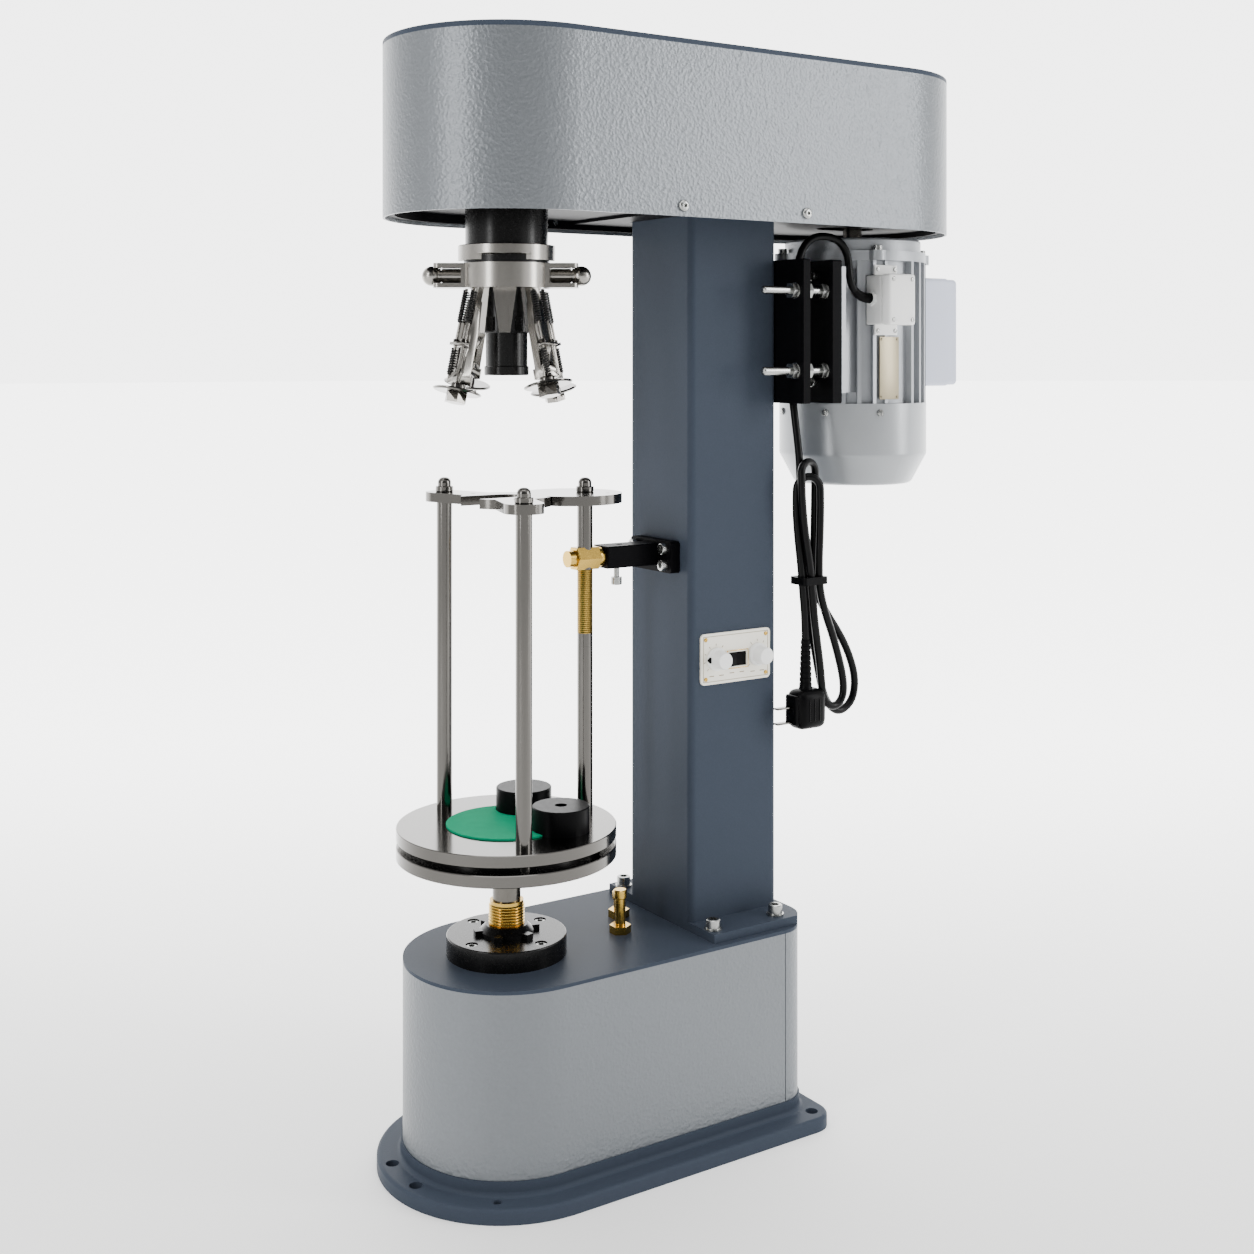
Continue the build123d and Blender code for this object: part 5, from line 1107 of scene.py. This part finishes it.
def make_panel_lines():
    strips = four_strips("line", PANEL_LINE, 0.5)
    for knob_y in KNOB_PLACES:
        for step in range(DIAL_TICKS):
            turn = math.radians(135 - 270 / (DIAL_TICKS - 1) * step)
            matrix = shift(FRONT_OF_PANEL, knob_y, KNOB_HEIGHT_Z) @ Matrix.Rotation(turn, 4, "X")
            strips.append(block("tick", (-0.05, -0.3, 12.0), (0.15, 0.3, 14.0), 0.05, matrix))
    for y, z in PANEL_BARS:
        strips.append(on_panel("bar", y - 2.6, y + 2.6, z - 0.4, z + 0.4))
    return join("panel_printing", strips)


def make_panel_screws():
    places = [(FRONT_OF_PANEL, y, z) for y in PANEL_SCREWS[0] for z in PANEL_SCREWS[1]]
    screws = [slotted_screw("panel_screw", 1.9, 1.0, facing_x(*spot)) for spot in places]
    return join("panel_screws", screws)


def make_window_frame():
    return join("switch_rim", four_strips("rim", WINDOW_RIM, 0.7, 0.3, FRONT_OF_PANEL + 1.2))


def make_pointer(number, knob_y):
    """A dark diamond on the rim of the dial, forward on one and back on the other."""
    side = -1 if number == 1 else 1
    matrix = shift(0, knob_y + side * 9.4, KNOB_HEIGHT_Z) @ Matrix.Rotation(math.radians(45), 4, "X")
    return block(f"knob_pointer_{number}", (54.6, -2.1, -2.1), (56.6, 2.1, 2.1), 0.3, matrix)


class CAPPER_OT_panel(bpy.types.Operator):
    """Prints the control panel's plain marks and fits its screws, rim and pointers"""

    bl_idname = "capper.panel"
    bl_label = "Control panel"

    def execute(self, context):
        place(make_panel_lines(), "frame", FINISHES["ink"], "panel_plate")
        place(make_panel_screws(), "frame", FINISHES["brass"], "brass")
        place(make_window_frame(), "frame", FINISHES["brass"], "brass")
        for number, knob_y in enumerate(KNOB_PLACES, 1):
            pointer = make_pointer(number, knob_y)
            place(pointer, f"knob_{number}", FINISHES["black_plastic"], "black_plastic")
        return {"FINISHED"}


# Studio: pale floor, soft boxes and the photograph's camera

# The level direction in which the photograph's camera looks
BACKGROUND_WAY = (-0.834, 0.552, 0)

# The world's light, by how far a ray points that way: 0 is towards the camera, 1 is away from it
WORLD_STRENGTH = 4.6
WORLD_STOPS = ((0.0, 0.05), (0.10, 0.07), (0.22, 0.30), (0.50, 0.20), (0.72, 0.35), (0.93, 1.0))

# The floor's width in metres, and the most that it glows far behind the machine
FLOOR_SIZE = 90
FLOOR_GLOW = 3.6

# The photograph's camera, in metres, degrees and millimetres of lens
CAMERA_PLACE = (1.2584, -0.91005, 0.7015)
CAMERA_TURN = 56.5
CAMERA_LENS = 47.1
CAMERA_SHIFT = -0.2147

# Soft boxes: name, place, what it lights, its width and height in metres, and its watts
SOFT_BOXES = (
    ("front_box", (0.55, -2.6, 1.3), (0, -0.2, 0.6), (0.45, 2.0), 30),
    ("side_box", (2.1, 2.0, 1.3), (0, 0.1, 0.5), (0.7, 2.0), 50),
    ("top_box", (0.4, -0.4, 3.2), (0, 0, 0.4), (2.2, 2.2), 38),
)


def soft_box(name, position, aim, size, power):
    light = bpy.data.lights.new(name, "AREA")
    light.shape = "RECTANGLE"
    light.size, light.size_y = size
    light.energy = power
    obj = bpy.data.objects.new(name, light)
    bpy.context.collection.objects.link(obj)
    obj.location = position
    obj.rotation_euler = (Vector(aim) - Vector(position)).to_track_quat("-Z", "Y").to_euler()
    return obj


def make_camera():
    camera = bpy.data.cameras.new("photo_camera")
    camera.lens = CAMERA_LENS
    camera.sensor_width = 36
    camera.shift_y = CAMERA_SHIFT
    camera.clip_end = 50
    obj = bpy.data.objects.new("photo_camera", camera)
    bpy.context.collection.objects.link(obj)
    obj.location = CAMERA_PLACE
    obj.rotation_euler = (math.radians(90), 0, math.radians(CAMERA_TURN))
    bpy.context.scene.camera = obj


def make_floor():
    """Pale paper that glows behind the machine, as a studio sweep lit from the back does."""
    clear()
    bpy.ops.mesh.primitive_plane_add(size=FLOOR_SIZE)
    floor = bpy.context.object
    floor.name = "studio_floor"
    material, tree, principled, place_on = surface("pale_studio_paper", linear("F8F8F7"), 0.0, 0.85)
    behind = add(tree, "ShaderNodeVectorMath", {0: place_on, 1: BACKGROUND_WAY}, operation="DOT_PRODUCT")
    glow = add(
        tree,
        "ShaderNodeMapRange",
        {
            "Value": behind.outputs["Value"],
            "From Min": -0.5,
            "From Max": 1.6,
            "To Min": 0.0,
            "To Max": FLOOR_GLOW,
        },
        interpolation_type="SMOOTHSTEP",
    ).outputs["Result"]
    principled.inputs["Emission Color"].default_value = (1, 1, 1, 1)
    tree.links.new(glow, principled.inputs["Emission Strength"])
    floor.data.materials.append(material)


def make_world():
    """A pale studio: bright behind the machine and to its sides, and dimmer where a camera would stand."""
    world = bpy.data.worlds.new("studio_world")
    world.use_nodes = True
    tree = world.node_tree
    direction = add(tree, "ShaderNodeTexCoord").outputs["Generated"]
    facing = add(tree, "ShaderNodeVectorMath", {0: direction, 1: BACKGROUND_WAY}, operation="DOT_PRODUCT")
    spread = {"Value": facing.outputs["Value"], "From Min": -1.0, "From Max": 1.0}
    share = add(tree, "ShaderNodeMapRange", spread).outputs["Result"]
    ramp = add(tree, "ShaderNodeValToRGB", {"Fac": share})
    ramp.color_ramp.interpolation = "EASE"
    elements = ramp.color_ramp.elements
    while len(elements) < len(WORLD_STOPS):
        elements.new(0.5)
    for element, (position, level) in zip(elements, WORLD_STOPS):
        element.position = position
        element.color = (level, level, level, 1)
    background = tree.nodes["Background"]
    background.inputs["Strength"].default_value = WORLD_STRENGTH
    tree.links.new(ramp.outputs["Color"], background.inputs["Color"])
    bpy.context.scene.world = world


class CAPPER_OT_stage(bpy.types.Operator):
    """Sets the floor, the soft studio light and the camera"""

    bl_idname = "capper.stage"
    bl_label = "Studio"

    def execute(self, context):
        make_world()
        make_floor()
        make_camera()
        for box in SOFT_BOXES:
            soft_box(*box)
        return {"FINISHED"}


CLASSES = (
    FinishSettings,
    DetailSettings,
    CAPPER_OT_finishes,
    CAPPER_OT_lead,
    CAPPER_OT_arms,
    CAPPER_OT_head,
    CAPPER_OT_threads,
    CAPPER_OT_motor,
    CAPPER_OT_panel,
    CAPPER_OT_stage,
)
STEPS = ("finishes", "lead", "arms", "head", "threads", "motor", "panel", "stage")


class CAPPER_PT_panel(bpy.types.Panel):
    """Lists the machine's steps and settings"""

    bl_idname = "CAPPER_PT_panel"
    bl_label = "Capping machine"
    bl_space_type = "VIEW_3D"
    bl_region_type = "UI"
    bl_category = "Capper"

    def draw(self, context):
        for group in (context.scene.capper_finish, context.scene.capper_detail):
            for key in group.bl_rna.properties.keys():
                if key not in ("rna_type", "name"):
                    self.layout.prop(group, key)
        for step in STEPS:
            self.layout.operator(f"capper.{step}")


def register():
    for each in (*CLASSES, CAPPER_PT_panel):
        bpy.utils.register_class(each)
    bpy.types.Scene.capper_finish = bpy.props.PointerProperty(type=FinishSettings)
    bpy.types.Scene.capper_detail = bpy.props.PointerProperty(type=DetailSettings)


def unregister():
    del bpy.types.Scene.capper_finish
    del bpy.types.Scene.capper_detail
    for each in reversed((*CLASSES, CAPPER_PT_panel)):
        bpy.utils.unregister_class(each)


def main():
    register()
    for step in STEPS:
        getattr(bpy.ops.capper, step)()


if __name__ == "__main__":
    main()
